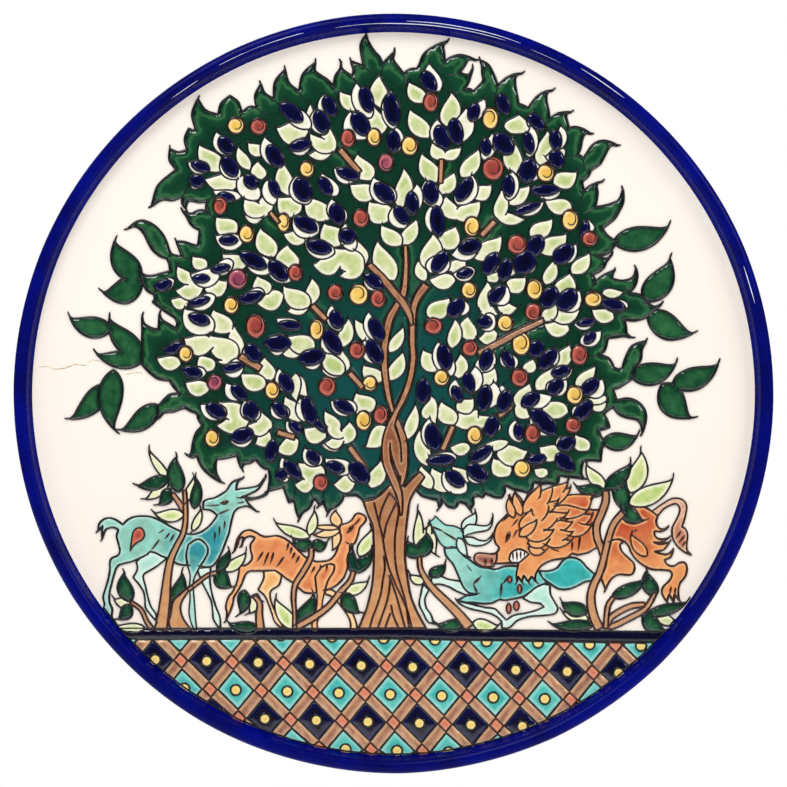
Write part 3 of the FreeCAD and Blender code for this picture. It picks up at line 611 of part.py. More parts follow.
# Drawn lines on the animals: tip, base, width.
FIGURE_LINES = [
    (-94.8, -56.2, -92.2, -54.6, 0.5), (-92.2, -58.6, -90, -56, 0.7),
    (-90.4, -60, -88.2, -56.6, 0.7), (-97.9, -63.4, -94.2, -58.8, 0.7),
    (-72.1, -60, -71.8, -55.6, 0.6), (-70.3, -57.6, -69.9, -53.4, 0.6),
    (-68.4, -55, -67.8, -51.2, 0.6), (-70.1, -43.9, -66.4, -43.4, 1.5),
    (-76.1, -45, -69.8, -44.8, 0.5), (-71.2, -48.6, -66.2, -46.6, 0.7),
    (-63.6, -41.6, -60.6, -42, 0.5), (-63.2, -44, -60, -43.6, 0.5),
    (-55.2, -67.6, -52.4, -63.6, 0.8), (-52.6, -69.4, -50.2, -63.8, 0.8),
    (-49.8, -68.8, -48.2, -63.8, 0.8), (-43.2, -63.4, -42.2, -60, 0.8),
    (-41.9, -64.8, -40.9, -61.6, 0.8), (-41.2, -66.8, -39.6, -63.8, 0.8),
    (-39.6, -68.4, -37.9, -65.2, 0.8), (-47.4, -69.9, -44, -65.6, 0.8),
    (-33.3, -72.2, -31.7, -69.6, 0.7), (-29.9, -71.6, -29.2, -68.8, 0.7),
    (-27.4, -71.6, -26.6, -68.8, 0.7), (-19.2, -56.4, -16.2, -52.9, 1.3),
    (-16.4, -53.4, -13.4, -50.2, 0.6), (-19.6, -59.4, -17.4, -60.6, 0.5),
    (13.9, -52.6, 19.6, -55.2, 0.7), (19, -54.8, 25.6, -59, 0.7), (20.8, -62, 24.2, -61.6, 0.7),
    (35.5, -72.8, 32.2, -76.4, 0.9), (32.2, -76, 33.7, -80.4, 0.8),
    (29.4, -68.6, 31.4, -71.4, 0.4), (42.8, -82.4, 43.4, -76.2, 0.8),
    (43.3, -77, 46.6, -73.2, 0.8), (44.6, -60.2, 46.6, -55.6, 1.5),
    (43.6, -51.6, 46.8, -48.4, 0.6), (47.2, -53.6, 50, -50.4, 0.6), (47.8, -58, 49.6, -54.8, 0.6),
    (62.8, -62.2, 66.6, -63.4, 0.5), (64, -60.6, 67.4, -61.2, 0.5),
    (71.4, -63.6, 71.9, -59.4, 0.7), (73.9, -63.9, 75, -57, 0.8), (75, -57.4, 76.2, -55.4, 0.7),
    (92.6, -47.8, 88.2, -52.6, 0.7), (48.3, -67.4, 48, -63.8, 0.6),
    (49.5, -67.6, 49.5, -63.4, 0.6), (50.9, -66.8, 51.1, -63.4, 0.6),
    (52.4, -65.6, 52.6, -63.8, 0.5), (37.2, -69.4, 37, -66.4, 0.9),
    (39.3, -69.6, 39.4, -66.2, 0.8), (113.2, -58.4, 115.6, -55.2, 0.7),
    (114.3, -60.2, 117, -57, 0.7), (115.8, -61.6, 117.4, -59.4, 0.6),
    (112.6, -81.6, 113.4, -78, 0.7), (110.6, -81.4, 111.6, -77.6, 0.7),
    (95.4, -55.6, 97.8, -54.8, 0.6),
]

# Saplings among the animals: stems as x, z, width, then leaves.
LEFT_SAPLING_STEMS = [
    [
        (-84, -39, 1.4), (-83.7, -43.3, 1.6), (-83.7, -51.6, 1.8), (-84.7, -56.6, 2),
        (-87.2, -61.5, 2.2), (-89.7, -67.3, 2.6), (-91, -74.4, 3), (-91.8, -82.7, 3.8),
        (-92.6, -88.9, 4.2), (-93.6, -95, 4.8),
    ],
    [
        (-88.9, -40.2, 1.6), (-86.5, -43.5, 1.9), (-84.4, -47, 2.2),
    ],
    [
        (-82.5, -79, 1.4), (-79, -76.3, 1.4), (-74.5, -73, 1.4), (-71, -72, 1.6),
    ],
    [
        (-105.5, -83.9, 1.3), (-101.5, -87, 1.5), (-99.3, -91.5, 1.6), (-97, -94.9, 1.8),
    ],
]

LEFT_SAPLING_ROOT = [
    (-89.6, -89, 1), (-88.5, -83.5), (-85.6, -80.6), (-82.4, -77.8, 1), (-82.6, -79.6, 1),
    (-85.2, -83.9), (-85.6, -87.2), (-84.3, -91), (-81.2, -95.1, 1), (-89.5, -95.1, 1),
    (-90.3, -92),
]

LEFT_DARK_LEAVES = [
    (-87, -25.2, -86.4, -38.9, 5.3), (-103.4, -36.8, -91, -34.3, 4.2),
    (-94.7, -44.7, -90, -38.8, 4), (-79.6, -33.8, -80.1, -45.6, 3.4),
    (-85.2, -71.8, -88.6, -84.4, 4.2), (-108, -71.9, -106.3, -83.1, 4.8),
    (-111, -90.7, -105.9, -85.4, 4), (-66.1, -62.8, -70.5, -71.1, 3), (-64.7, -77.7, -71, -72, 5),
]

LEFT_PALE_LEAVES = [
    (-98.4, -22.3, -90.5, -34.3, 2.6), (-100.1, -42.5, -91, -36, 3.2),
    (-80.2, -33, -84.3, -44, 2.6), (-96.4, -47.8, -84.9, -48.8, 4),
    (-77.5, -46, -80.6, -54.8, 2.4), (-112.5, -82.3, -105.5, -84.3, 3.4),
    (-112.1, -93, -100.5, -94.3, 3), (-59.3, -63.6, -67.2, -71.1, 3.4),
]

MIDDLE_SAPLING_STEMS = [
    [
        (-33, -62, 1.8), (-33.3, -66, 2), (-36.5, -72, 2.2), (-39.5, -77, 2), (-40.2, -82, 1.7),
        (-39.8, -88, 1.4), (-39.8, -94.5, 1.6),
    ],
    [
        (-56, -81.5, 1.6), (-53.9, -84.3, 2), (-54, -89, 2.6), (-53.5, -95, 3.2),
    ],
    [
        (-40, -94.5, 2.4), (-32, -90, 2.4), (-26, -85.5, 2.2), (-21.5, -80, 2.2),
        (-17.5, -75.5, 2), (-16, -71.5, 1.8),
    ],
    [
        (10.4, -65.7, 1.6), (10.8, -70.2, 1.8), (13.1, -74.8, 2.2), (16.4, -79, 2.6),
        (21, -83.5, 3), (26, -88.5, 3.4), (30.5, -94, 4),
    ],
]

MIDDLE_DARK_LEAVES = [
    (-40.5, -58.4, -33, -61.5, 4), (-26.7, -59.7, -32.5, -61, 3.8),
    (-32.2, -80.2, -39.2, -94.2, 5.2), (-62, -88.8, -60, -79.6, 4), (-66.5, -92, -55, -94.6, 4),
    (-16.3, -61.5, -16, -72, 3), (-8.6, -63, -16.3, -71.5, 4), (-13.2, -88.1, -20, -81, 4.8),
    (5.7, -59, 10.4, -65.5, 4.5), (13.1, -55.7, 10.6, -65.3, 5), (20.8, -68.2, 14.8, -73.1, 3.6),
    (17.2, -92.5, 27.5, -92.9, 4),
]

MIDDLE_PALE_LEAVES = [
    (-32, -46.8, -33.8, -56.5, 3), (-47.6, -51.6, -34.4, -57.4, 3.6),
    (-47.4, -82, -39.5, -94.5, 4.6), (-58.4, -88.6, -55, -81, 3.6),
    (-8.9, -54.1, -13.6, -64.8, 4.2), (-10.1, -75, -19.2, -80, 3.6), (9.6, -46.4, 9.4, -61.5, 3),
    (14.8, -52, 10.8, -59.5, 3.2), (17.3, -65.1, 15, -55.7, 3.2), (6.5, -72.5, 11.9, -76, 2.8),
    (42.4, -93, 32.4, -92.4, 4),
]

RIGHT_SAPLING_STEMS = [
    [
        (92.3, -47.9, 2.5), (88.6, -52.4, 2.5), (86.5, -58.2, 2.5), (84.9, -64.9, 2.5),
        (82.8, -72.3, 2.6), (80.7, -76.5, 2.8), (79.5, -80.6, 3), (79.5, -84.8, 3.2),
        (80.7, -90.1, 3.4), (82.8, -94.6, 3.6),
    ],
    [
        (85.3, -39.1, 2.5), (85.3, -43.3, 2.8), (83.6, -48.3, 2.8), (81.7, -53.2, 2.8),
        (82, -58.2, 2.8), (83.6, -62.4, 2.6), (84.2, -65, 2.4),
    ],
    [
        (85.3, -94.5, 1.8), (85.7, -88.9, 1.8), (86.5, -84.8, 1.8), (88.6, -81.8, 1.6),
    ],
    [
        (86, -93, 2), (87.8, -89.7, 2.2), (95.2, -85.6, 2.2), (101, -84.8, 1.8),
    ],
    [
        (86.5, -94, 2), (89.4, -93, 2.2), (95.2, -90.1, 2.2), (101, -86.8, 2), (103.9, -82.7, 1.8),
        (105.2, -80.2, 1.4),
    ],
]

RIGHT_DARK_LEAVES = [
    (95.4, -27.5, 85.8, -38, 4.6), (73.2, -37, 84.2, -39.3, 4), (91.4, -31, 92.9, -46, 5),
    (101, -51, 92, -46, 5), (101.6, -74.2, 88.6, -81.5, 4), (102, -70.9, 105, -81, 4.5),
    (118.2, -83.5, 102.7, -88.5, 3.5), (109.5, -95, 100.6, -89.7, 5),
    (67.5, -83.5, 77.4, -87.7, 4.6), (63.1, -92.5, 79.4, -93, 3.6),
]

RIGHT_PALE_LEAVES = [
    (77.6, -28.2, 84.6, -37.6, 4), (99.3, -23, 95.6, -39, 6), (112.4, -33.9, 95.5, -44, 6),
    (115.1, -92.2, 105.6, -88.9, 3.6), (67.7, -87.4, 77.8, -90.6, 3.2),
]



# Plane geometry. Fields are drawn flat in X and Y, given their depth along Z, and stood up last.

def vector(x, z):
    return FreeCAD.Vector(x, z, 0)


def curve(points):
    """Smooth edges through the points, each bend kept within its own two points."""
    last = len(points) - 1
    if last == 1:
        return [Part.makeLine(*points)]
    headings = []
    for i in range(last + 1):
        heading = points[min(i + 1, last)] - points[max(i - 1, 0)]
        headings.append(heading.normalize())
    edges = []
    for i in range(last):
        handle = (points[i + 1] - points[i]).Length / 3
        bezier = Part.BezierCurve()
        bezier.setPoles([
            points[i],
            points[i] + headings[i] * handle,
            points[i + 1] - headings[i + 1] * handle,
            points[i + 1],
        ])
        edges.append(bezier.toShape())
    return edges


def closed(edges):
    return Part.Face(Part.Wire(edges))


def outline(points):
    """A closed field whose smooth runs meet at its sharp corners."""
    start = next(i for i, point in enumerate(points) if len(point) == 3)
    ordered = points[start:] + points[:start + 1]
    edges = []
    run = [vector(*ordered[0][:2])]
    for point in ordered[1:]:
        run.append(vector(*point[:2]))
        if len(point) == 3:
            edges += curve(run)
            run = run[-1:]
    return closed(edges)


def flames(points):
    """A pointed edge with its straight runs bowed: full on the way out, hollow on the way in."""
    bowed = []
    for here, there in zip(points, points[1:] + points[:1]):
        bowed.append(here)
        if len(here) == 3 and len(there) == 3:
            start = vector(*here[:2])
            end = vector(*there[:2])
            middle = (start + end) / 2
            run = end - start
            side = FreeCAD.Vector(-run.y, run.x, 0) * FLAME_BOW
            if side.dot(middle - CROWN_CENTRE) < 0:
                side = -side
            if end.distanceToPoint(CROWN_CENTRE) < start.distanceToPoint(CROWN_CENTRE):
                side = -side
            bowed.append((middle.x + side.x, middle.y + side.y))
    return bowed


def blade(tip, base, width, places, curl=CURL):
    """A pointed blade that curls. The places are its controls from the base to the tip, each
    with how far along it lies and how far out it bulges, in half widths."""
    along = tip - base
    side = FreeCAD.Vector(-along.y, along.x, 0).normalize() * (width / 2)
    sag = side * (-curl if side.y > 0 else curl)
    edges = []
    for hand in (1, -1):
        controls = [base]
        for far, out in places:
            controls.append(base + along * far + side * (out * hand) + sag * far)
        bezier = Part.BezierCurve()
        bezier.setPoles(controls + [tip])
        edges.append(bezier.toShape())
    return closed(edges)


def leaf(tip_x, tip_z, base_x, base_z, width):
    """A leaf, fullest near its base, drawn out to a fine curled tip."""
    tip = vector(tip_x, tip_z)
    base = vector(base_x, base_z)
    base = base + (base - tip) * LEAF_ROOT
    return blade(tip, base, width * LEAF_FULLNESS, ((0.16, 1.5), (0.58, 1.6), (0.84, 0.2)))


def pod(tip_x, tip_z, end_x, end_z, width):
    """A husk, nearly as full at its tip as at its end."""
    tip = vector(tip_x, tip_z)
    end = vector(end_x, end_z)
    return blade(tip, end, width * HUSK_FULLNESS, ((0.10, 1.3), (0.60, 1.5), (0.88, 0.35)))


def olive(x, z, angle, long, short):
    """An olive, round in the middle and pointed at both ends."""
    turn = math.radians(angle)
    half = vector(math.cos(turn), math.sin(turn)) * (long * OLIVE_LENGTH / 2)
    middle = vector(x, z)
    places = ((0.10, 1.15), (0.50, 1.25), (0.90, 1.15))
    return blade(middle + half, middle - half, short * OLIVE_WIDTH, places, 0)


def oval(x, z, half_width, half_height, angle=0.0):
    """A filled ellipse; the half width lies at the angle."""
    if abs(half_width - half_height) < 1e-6:
        edge = Part.makeCircle(half_width, vector(x, z))
        return closed([edge])
    longer = max(half_width, half_height)
    shorter = min(half_width, half_height)
    turn = math.radians(angle + (90 if half_height > half_width else 0))
    major = vector(x + longer * math.cos(turn), z + longer * math.sin(turn))
    minor = vector(x - shorter * math.sin(turn), z + shorter * math.cos(turn))
    return closed([Part.Ellipse(major, minor, vector(x, z)).toShape()])


def stroke(points):
    """A band that follows x, z, width points."""
    centres = [vector(x, z) for x, z, _ in points]
    left = []
    right = []
    for i, centre in enumerate(centres):
        along = centres[min(i + 1, len(centres) - 1)] - centres[max(i - 1, 0)]
        side = FreeCAD.Vector(-along.y, along.x, 0).normalize() * (points[i][2] / 2)
        left.append(centre + side)
        right.append(centre - side)
    right.reverse()
    ends = [Part.makeLine(left[-1], right[0]), Part.makeLine(right[-1], left[0])]
    return closed(curve(left) + ends[:1] + curve(right) + ends[1:])


def line(points, width=0.9):
    """A drawn line of even width."""
    return stroke([(x, z, width) for x, z in points])


def parallelogram(centre, scale):
    x, z = centre
    corners = []
    for i, j in ((-0.5, -0.5), (0.5, -0.5), (0.5, 0.5), (-0.5, 0.5)):
        corners.append(vector(
            x + scale * (i * STEP_DOWN_RIGHT[0] + j * STEP_DOWN_LEFT[0]),
            z + scale * (i * STEP_DOWN_RIGHT[1] + j * STEP_DOWN_LEFT[1]),
        ))
    return Part.Face(Part.makePolygon(corners + corners[:1]))


# Painting: what is laid first keeps its place, and later fields stop at it.

SMALLEST_FIELD = 0.3         # square millimetres; a smaller remnant is not glazed
SMALLEST_SHARE = 0.04        # of the whole field, for a remnant that is cut off


class Layer:
    """Fields that share a depth and don't overlap."""

    def __init__(self):
        self.laid = []

    def lay(self, faces):
        """Trim the faces by what is laid already, and lay what remains of them."""
        kept = []
        for face in faces:
            box = face.BoundBox
            near = [other for other, other_box in self.laid if box.intersect(other_box)]
            pieces = face.cut(near).Faces if near else [face]
            least = max(SMALLEST_FIELD, SMALLEST_SHARE * face.Area)
            for piece in pieces:
                if piece.Area > least:
                    self.laid.append((piece, piece.BoundBox))
                    kept.append(piece)
        return kept


def export(name, shapes):
    """Stand the shapes up and write them as one node."""
    group = Part.makeCompound(shapes)
    group.rotate(FreeCAD.Vector(0, 0, 0), FreeCAD.Vector(1, 0, 0), 90)
    group.exportStep("parts/" + name + ".step")


def fields(name, faces, bottom=FACE_DEPTH, height=FIELD_HEIGHT):
    """Give the faces their depth and write them."""
    solids = []
    for face in faces:
        solid = face.extrude(FreeCAD.Vector(0, 0, height))
        solid.translate(FreeCAD.Vector(0, 0, bottom))
        solids.append(solid)
    export(name, solids)


# The plate: sections drawn as radius and depth, turned about the plate's axis.

def lip_point(radius, angle):
    centre = PLATE_RADIUS - LIP_RADIUS
    turn = math.radians(angle)
    return FreeCAD.Vector(
        centre + radius * math.cos(turn), 0, LIP_CENTRE_DEPTH + radius * math.sin(turn)
    )


def turned(edges):
    face = Part.Face(Part.Wire(edges))
    return face.revolve(FreeCAD.Vector(0, 0, 0), FreeCAD.Vector(0, 0, 1), 360)


def lip_arc(radius):
    middle = (LIP_INNER_ANGLE + LIP_OUTER_ANGLE) / 2
    return Part.Arc(
        lip_point(radius, LIP_INNER_ANGLE),
        lip_point(radius, middle),
        lip_point(radius, LIP_OUTER_ANGLE),
    ).toShape()


CLAY_FACE = FACE_DEPTH - GLAZE_THICKNESS
INNER_LIP = LIP_RADIUS - GLAZE_THICKNESS
CLAY_FLAT_RADIUS = WELL_RADIUS + 0.4


def clay_dish():
    axis_back = FreeCAD.Vector(0, 0, FOOT_HEIGHT)
    axis_face = FreeCAD.Vector(0, 0, CLAY_FACE)
    flat_edge = FreeCAD.Vector(CLAY_FLAT_RADIUS, 0, CLAY_FACE)
    glaze_end = lip_point(INNER_LIP, LIP_OUTER_ANGLE)
    outer_end = lip_point(LIP_RADIUS, LIP_OUTER_ANGLE)
    belly = FreeCAD.Vector(PLATE_RADIUS - 5.5, 0, FOOT_HEIGHT + 3.6)
    back_edge = FreeCAD.Vector(FLAT_BACK_RADIUS, 0, FOOT_HEIGHT)
    dish = turned([
        Part.makeLine(axis_back, axis_face),
        Part.makeLine(axis_face, flat_edge),
        Part.makeLine(flat_edge, lip_point(INNER_LIP, LIP_INNER_ANGLE)),
        lip_arc(INNER_LIP),
        Part.makeLine(glaze_end, outer_end),
        Part.Arc(outer_end, belly, back_edge).toShape(),
        Part.makeLine(back_edge, axis_back),
    ])
    export("clay_dish", [dish])


def foot_ring():
    ring = Part.makeCylinder(FOOT_RADIUS, FOOT_HEIGHT)
    ring = ring.cut(Part.makeCylinder(FOOT_RADIUS - FOOT_WALL, FOOT_HEIGHT))
    wall_edges = [edge for edge in ring.Edges if abs(edge.BoundBox.ZMax) < 1e-6]
    export("foot_ring", [ring.makeFillet(1.5, wall_edges)])


def white_ground_glaze():
    disc = Part.makeCylinder(WELL_RADIUS, GLAZE_THICKNESS, FreeCAD.Vector(0, 0, CLAY_FACE))
    export("white_ground_glaze", [disc])


def rim_glaze():
    foot = FreeCAD.Vector(WELL_RADIUS, 0, CLAY_FACE)
    clay_foot = FreeCAD.Vector(CLAY_FLAT_RADIUS, 0, CLAY_FACE)
    glaze = turned([
        Part.makeLine(foot, lip_point(LIP_RADIUS, LIP_INNER_ANGLE)),
        lip_arc(LIP_RADIUS),
        Part.makeLine(lip_point(LIP_RADIUS, LIP_OUTER_ANGLE), lip_point(INNER_LIP, LIP_OUTER_ANGLE)),
        lip_arc(INNER_LIP),
        Part.makeLine(lip_point(INNER_LIP, LIP_INNER_ANGLE), clay_foot),
        Part.makeLine(clay_foot, foot),
    ])
    export("rim_glaze", [glaze])


# The ground line and the lattice below it

def inside_well(face):
    well = closed([Part.makeCircle(WELL_RADIUS - GAP)])
    return face.common(well).Faces


def ground_line():
    corners = [vector(*point) for point in GROUND_TOP + GROUND_BOTTOM[::-1]]
    bar = Part.Face(Part.makePolygon(corners + corners[:1]))
    fields("ground_line", inside_well(bar))


def lattice():
    low = -PLATE_RADIUS
    corners = [vector(*point) for point in GROUND_BOTTOM] + [vector(150, low), vector(-150, low)]
    below = Part.Face(Part.makePolygon(corners + corners[:1]))
    field = inside_well(below)[0]
    diamonds = {0: [], 1: []}
    studs = []
    knots = []
    for row in LATTICE_ROWS:
        for across in range(-16, 17):
            if (row + across) % 2:
                continue
            i = (row + across) / 2
            j = (row - across) / 2
            x = DIAMOND_CENTRE[0] + i * STEP_DOWN_RIGHT[0] + j * STEP_DOWN_LEFT[0]
            z = DIAMOND_CENTRE[1] + i * STEP_DOWN_RIGHT[1] + j * STEP_DOWN_LEFT[1]
            if math.hypot(x, z) > PLATE_RADIUS + 5:
                continue
            whole = parallelogram((x, z), DIAMOND_SCALE).common(field).Faces
            diamonds[row % 2] += [face for face in whole if face.Area > SMALLEST_FIELD]
            stud = oval(x, z, STUD_RADIUS, STUD_RADIUS).common(field).Faces
            studs += [face for face in stud if face.Area > SMALLEST_FIELD]
            knot_x = x + (STEP_DOWN_RIGHT[0] - STEP_DOWN_LEFT[0]) / 2
            knot_z = z + (STEP_DOWN_RIGHT[1] - STEP_DOWN_LEFT[1]) / 2
            knot = parallelogram((knot_x, knot_z), KNOT_SCALE).common(field).Faces
            knots += [face for face in knot if face.Area > SMALLEST_FIELD]
    straps = field.cut(diamonds[0] + diamonds[1]).Faces
    straps = [face for face in straps if face.Area > SMALLEST_FIELD]
    fields("lattice_straps", straps)
    fields("cobalt_diamonds", diamonds[0])
    fields("turquoise_diamonds", diamonds[1])
    fields("diamond_studs", studs, SECOND)
    fields("lattice_knots", knots, SECOND)


# The tree

def leaves(rows):
    return [leaf(*row) for row in rows]


def strokes(rows):
    return [stroke(row) for row in rows]


def tree():
    """The crown with its wood, leaves, olives and fruits. Returns what stands on the ground."""
    wood = Layer()
    branches = wood.lay(strokes(BRANCHES))
    strands = wood.lay(strokes(TRUNK_STRANDS))
    trunk = wood.lay([outline(TRUNK_EDGE)])
    stems = wood.lay([stroke([(a, b, w), ((a + c) / 2, (b + d) / 2, w), (c, d, w)])
                      for a, b, c, d, w in FRUIT_STEMS])
    crown = outline(flames(CANOPY_EDGE)).cut(trunk + strands + branches + stems).Faces
    crown = [face for face in crown if face.Area > 4 * SMALLEST_FIELD]

    upper = Layer()
    upper.laid = list(wood.laid)
    fruits = {}
    for name, rows in (
        ("yellow_fruits", YELLOW_FRUITS),
        ("red_fruits", RED_FRUITS),
        ("plum_fruits", PLUM_FRUITS),
    ):
        fruits[name] = upper.lay([oval(*row) for row in rows])
    husks = upper.lay([pod(*row) for row in OLIVE_HUSKS])
    pale = upper.lay(leaves(PALE_LEAVES))

    top = Layer()
    for faces in fruits.values():
        top.lay(faces)
    olives = top.lay([olive(*row) for row in OLIVES])

    fields("trunk", trunk, FACE_DEPTH, 2 * FIELD_HEIGHT)
    fields("trunk_strands", strands, FACE_DEPTH, 2 * FIELD_HEIGHT)
    fields("branches", branches, FACE_DEPTH, 2 * FIELD_HEIGHT)
    fields("fruit_stems", stems, FACE_DEPTH, 2 * FIELD_HEIGHT)
    fields("canopy_ground", crown)
    for name, faces in fruits.items():
        fields(name, faces, SECOND, 2 * FIELD_HEIGHT)
    for name, side in (("left", -1), ("right", 1)):
        for row, low, high in (("upper", 40, 200), ("lower", -200, 40)):
            part = [f for f in pale
                    if f.CenterOfMass.x * side > 0 and low < f.CenterOfMass.y <= high]
            fields("pale_leaves_" + row + "_" + name, part, SECOND)
        fields("olive_husks_" + name, [f for f in husks if f.CenterOfMass.x * side > 0], SECOND)
        fields("olives_" + name, [f for f in olives if f.CenterOfMass.x * side > 0], THIRD)
    drawn = Layer()
    fields("trunk_lines", drawn.lay([line(points) for points in TRUNK_LINES]), THIRD)
    return crown + trunk


# Animals and saplings stand on the white ground, in the order in which they cover each other.

def figures(ground):
    """Lay every figure on the white ground, nearest first."""
    layer = Layer()
    layer.lay(ground)
    nodes = {
        "left_sapling_stems": strokes(LEFT_SAPLING_STEMS) + [outline(LEFT_SAPLING_ROOT)],
        "middle_sapling_stems": strokes(MIDDLE_SAPLING_STEMS),
        "right_sapling_stems": strokes(RIGHT_SAPLING_STEMS),
        "left_sapling_leaves": leaves(LEFT_DARK_LEAVES),
        "middle_sapling_leaves": leaves(MIDDLE_DARK_LEAVES),
        "right_sapling_leaves": leaves(RIGHT_DARK_LEAVES),
        "left_sapling_pale_leaves": leaves(LEFT_PALE_LEAVES),
        "middle_sapling_pale_leaves": leaves(MIDDLE_PALE_LEAVES),
        "right_sapling_pale_leaves": leaves(RIGHT_PALE_LEAVES),
        "outer_leaves_left": leaves(OUTER_LEAVES_LEFT),
        "outer_leaves_right": leaves(OUTER_LEAVES_RIGHT),
        "buck_foreleg": [outline(BUCK_FORELEG)],
        "buck_body": [outline(BUCK)],
        "buck_far_legs": [outline(BUCK_FAR_LEG), outline(BUCK_FAR_FORELEG)],
        "doe_foreleg": [outline(DOE_FORELEG)],
        "doe_ears": leaves(DOE_EARS),
        "doe_body": [outline(DOE)],
        "doe_far_legs": [outline(DOE_FAR_LEG), outline(DOE_FAR_FORELEG)],
        "lion_teeth": [outline(LION_TEETH)],
        "lion_muzzle": [outline(LION_MUZZLE)],
        "lion_hind_leg": [outline(LION_HIND_LEG)],
        "lion_body": [outline(LION)],
        "lion_tail": [outline(LION_TAIL)],
        "gazelle_horns": [outline(GAZELLE_HORN_UPPER), outline(GAZELLE_HORN_LOWER)],
        "gazelle_ears": leaves(GAZELLE_EARS),
        "gazelle_head": [outline(GAZELLE_HEAD)],
        "gazelle_near_leg": [outline(GAZELLE_NEAR_FORELEG), outline(GAZELLE_HIND_LEG)],
        "gazelle_body": [outline(GAZELLE)],
        "gazelle_haunch": [outline(GAZELLE_HAUNCH)],
        "gazelle_far_leg": [outline(GAZELLE_FAR_FORELEG), outline(GAZELLE_FAR_SHANK)],
    }
    for name, faces in nodes.items():
        fields(name, layer.lay(faces))
    details = Layer()
    spots = [oval(*row) for row in GAZELLE_SPOTS] + [outline(BUCK_FLANK_SPOT)]
    fields("flank_spots", details.lay(spots), SECOND)
    details.lay(strokes(RIGHT_SAPLING_STEMS))
    fields("lion_mane_locks", details.lay(leaves(LION_MANE_LOCKS)), SECOND)
    fields("figure_lines", details.lay(leaves(FIGURE_LINES)), SECOND)


os.makedirs("parts", exist_ok=True)
clay_dish()
foot_ring()
white_ground_glaze()
rim_glaze()
ground_line()
lattice()
figures(tree())
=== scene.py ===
import json
import math

import bpy
import numpy as np
from bpy.props import FloatProperty, FloatVectorProperty, PointerProperty
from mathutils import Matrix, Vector, noise
from mathutils.geometry import delaunay_2d_cdt
from mathutils.kdtree import KDTree


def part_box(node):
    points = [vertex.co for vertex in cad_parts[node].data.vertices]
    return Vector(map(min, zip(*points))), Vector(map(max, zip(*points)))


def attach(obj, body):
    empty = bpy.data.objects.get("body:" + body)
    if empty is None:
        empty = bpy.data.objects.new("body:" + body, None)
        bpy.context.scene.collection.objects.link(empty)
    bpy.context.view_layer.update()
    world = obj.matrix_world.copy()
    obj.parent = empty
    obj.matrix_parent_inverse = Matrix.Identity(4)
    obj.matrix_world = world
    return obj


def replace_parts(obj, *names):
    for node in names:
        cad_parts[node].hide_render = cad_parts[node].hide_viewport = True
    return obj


bl_info = {
    "name": "Tree of life wall plate",
    "version": (1, 0, 0),
    "blender": (4, 5, 0),
    "location": "3D View > Sidebar > Plate",
    "description": "Glazes and paints a ceramic wall plate around its solid model",
    "category": "Add Mesh",
}

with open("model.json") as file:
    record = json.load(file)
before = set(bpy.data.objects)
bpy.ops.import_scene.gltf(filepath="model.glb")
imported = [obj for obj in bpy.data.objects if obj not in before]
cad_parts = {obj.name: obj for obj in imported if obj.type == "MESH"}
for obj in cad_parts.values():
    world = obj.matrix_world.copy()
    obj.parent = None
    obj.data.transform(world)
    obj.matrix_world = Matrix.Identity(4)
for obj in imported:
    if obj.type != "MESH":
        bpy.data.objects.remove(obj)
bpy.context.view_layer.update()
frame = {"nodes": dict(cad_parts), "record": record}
NODES = frame["nodes"]
SLOTS = {row["node"]: row["material_slot"] for row in frame["record"]["subparts"]}
MM = 0.001

LIP_LOW, LIP_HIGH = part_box("rim_glaze")
FOOT_LOW, FOOT_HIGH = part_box("foot_ring")
FACE_LOW, FACE_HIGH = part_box("white_ground_glaze")
PLATE_RADIUS = LIP_HIGH[0]
WELL_RADIUS = FACE_HIGH[0]
FACE_Y = FACE_LOW[1]
FOOT_RADIUS = FOOT_HIGH[0]
BACK_Y = FOOT_LOW[1]
FLAT_BACK = 0.130            # radius where the back starts to sweep up to the lip
LIP = 0.0028                 # half the thickness of the rounded lip
LIP_R = PLATE_RADIUS - LIP
LIP_Y = LIP_LOW[1] + LIP


def srgb(red, green, blue):
    """A colour given as 0-255 display values, as the shader's linear values."""
    out = []
    for value in (red, green, blue):
        value /= 255
        out.append(value / 12.92 if value <= 0.04045 else ((value + 0.055) / 1.055) ** 2.4)
    return tuple(out)


# Sizes and colours that a user would change

def length(name, description, default):
    return FloatProperty(name=name, description=description, default=default, subtype="DISTANCE")


def tint(name, description, default):
    return FloatVectorProperty(
        name=name, description=description, default=srgb(*default), subtype="COLOR", size=3
    )


class PlateBodySettings(bpy.types.PropertyGroup):
    rim: tint("Rim", "Cobalt glaze on the lip", (1, 10, 120))
    white: tint("Ground", "White ground glaze", (255, 247, 238))
    clay: tint("Clay", "Fired body on the back", (232, 214, 188))
    wobble: length("Wobble", "How far the thrown lip strays from a true circle", 0.00035)


class PaintSettings(bpy.types.PropertyGroup):
    dome: length("Dome", "How far a field of glaze swells", 0.00022)
    shoulder: length("Shoulder", "How far in from its edge a field is rounded", 0.0009)
    line_width: length("Line width", "Width of the trailed lines", 0.00095)
    line_height: length("Line height", "How far a trailed line stands up", 0.00022)
    grain: length("Grain", "Spacing of the points inside a field", 0.0012)


# Reading a field of the solid model

FRONT = -0.9                 # a front face's normal points this far along Y
MERGE = 1e-6


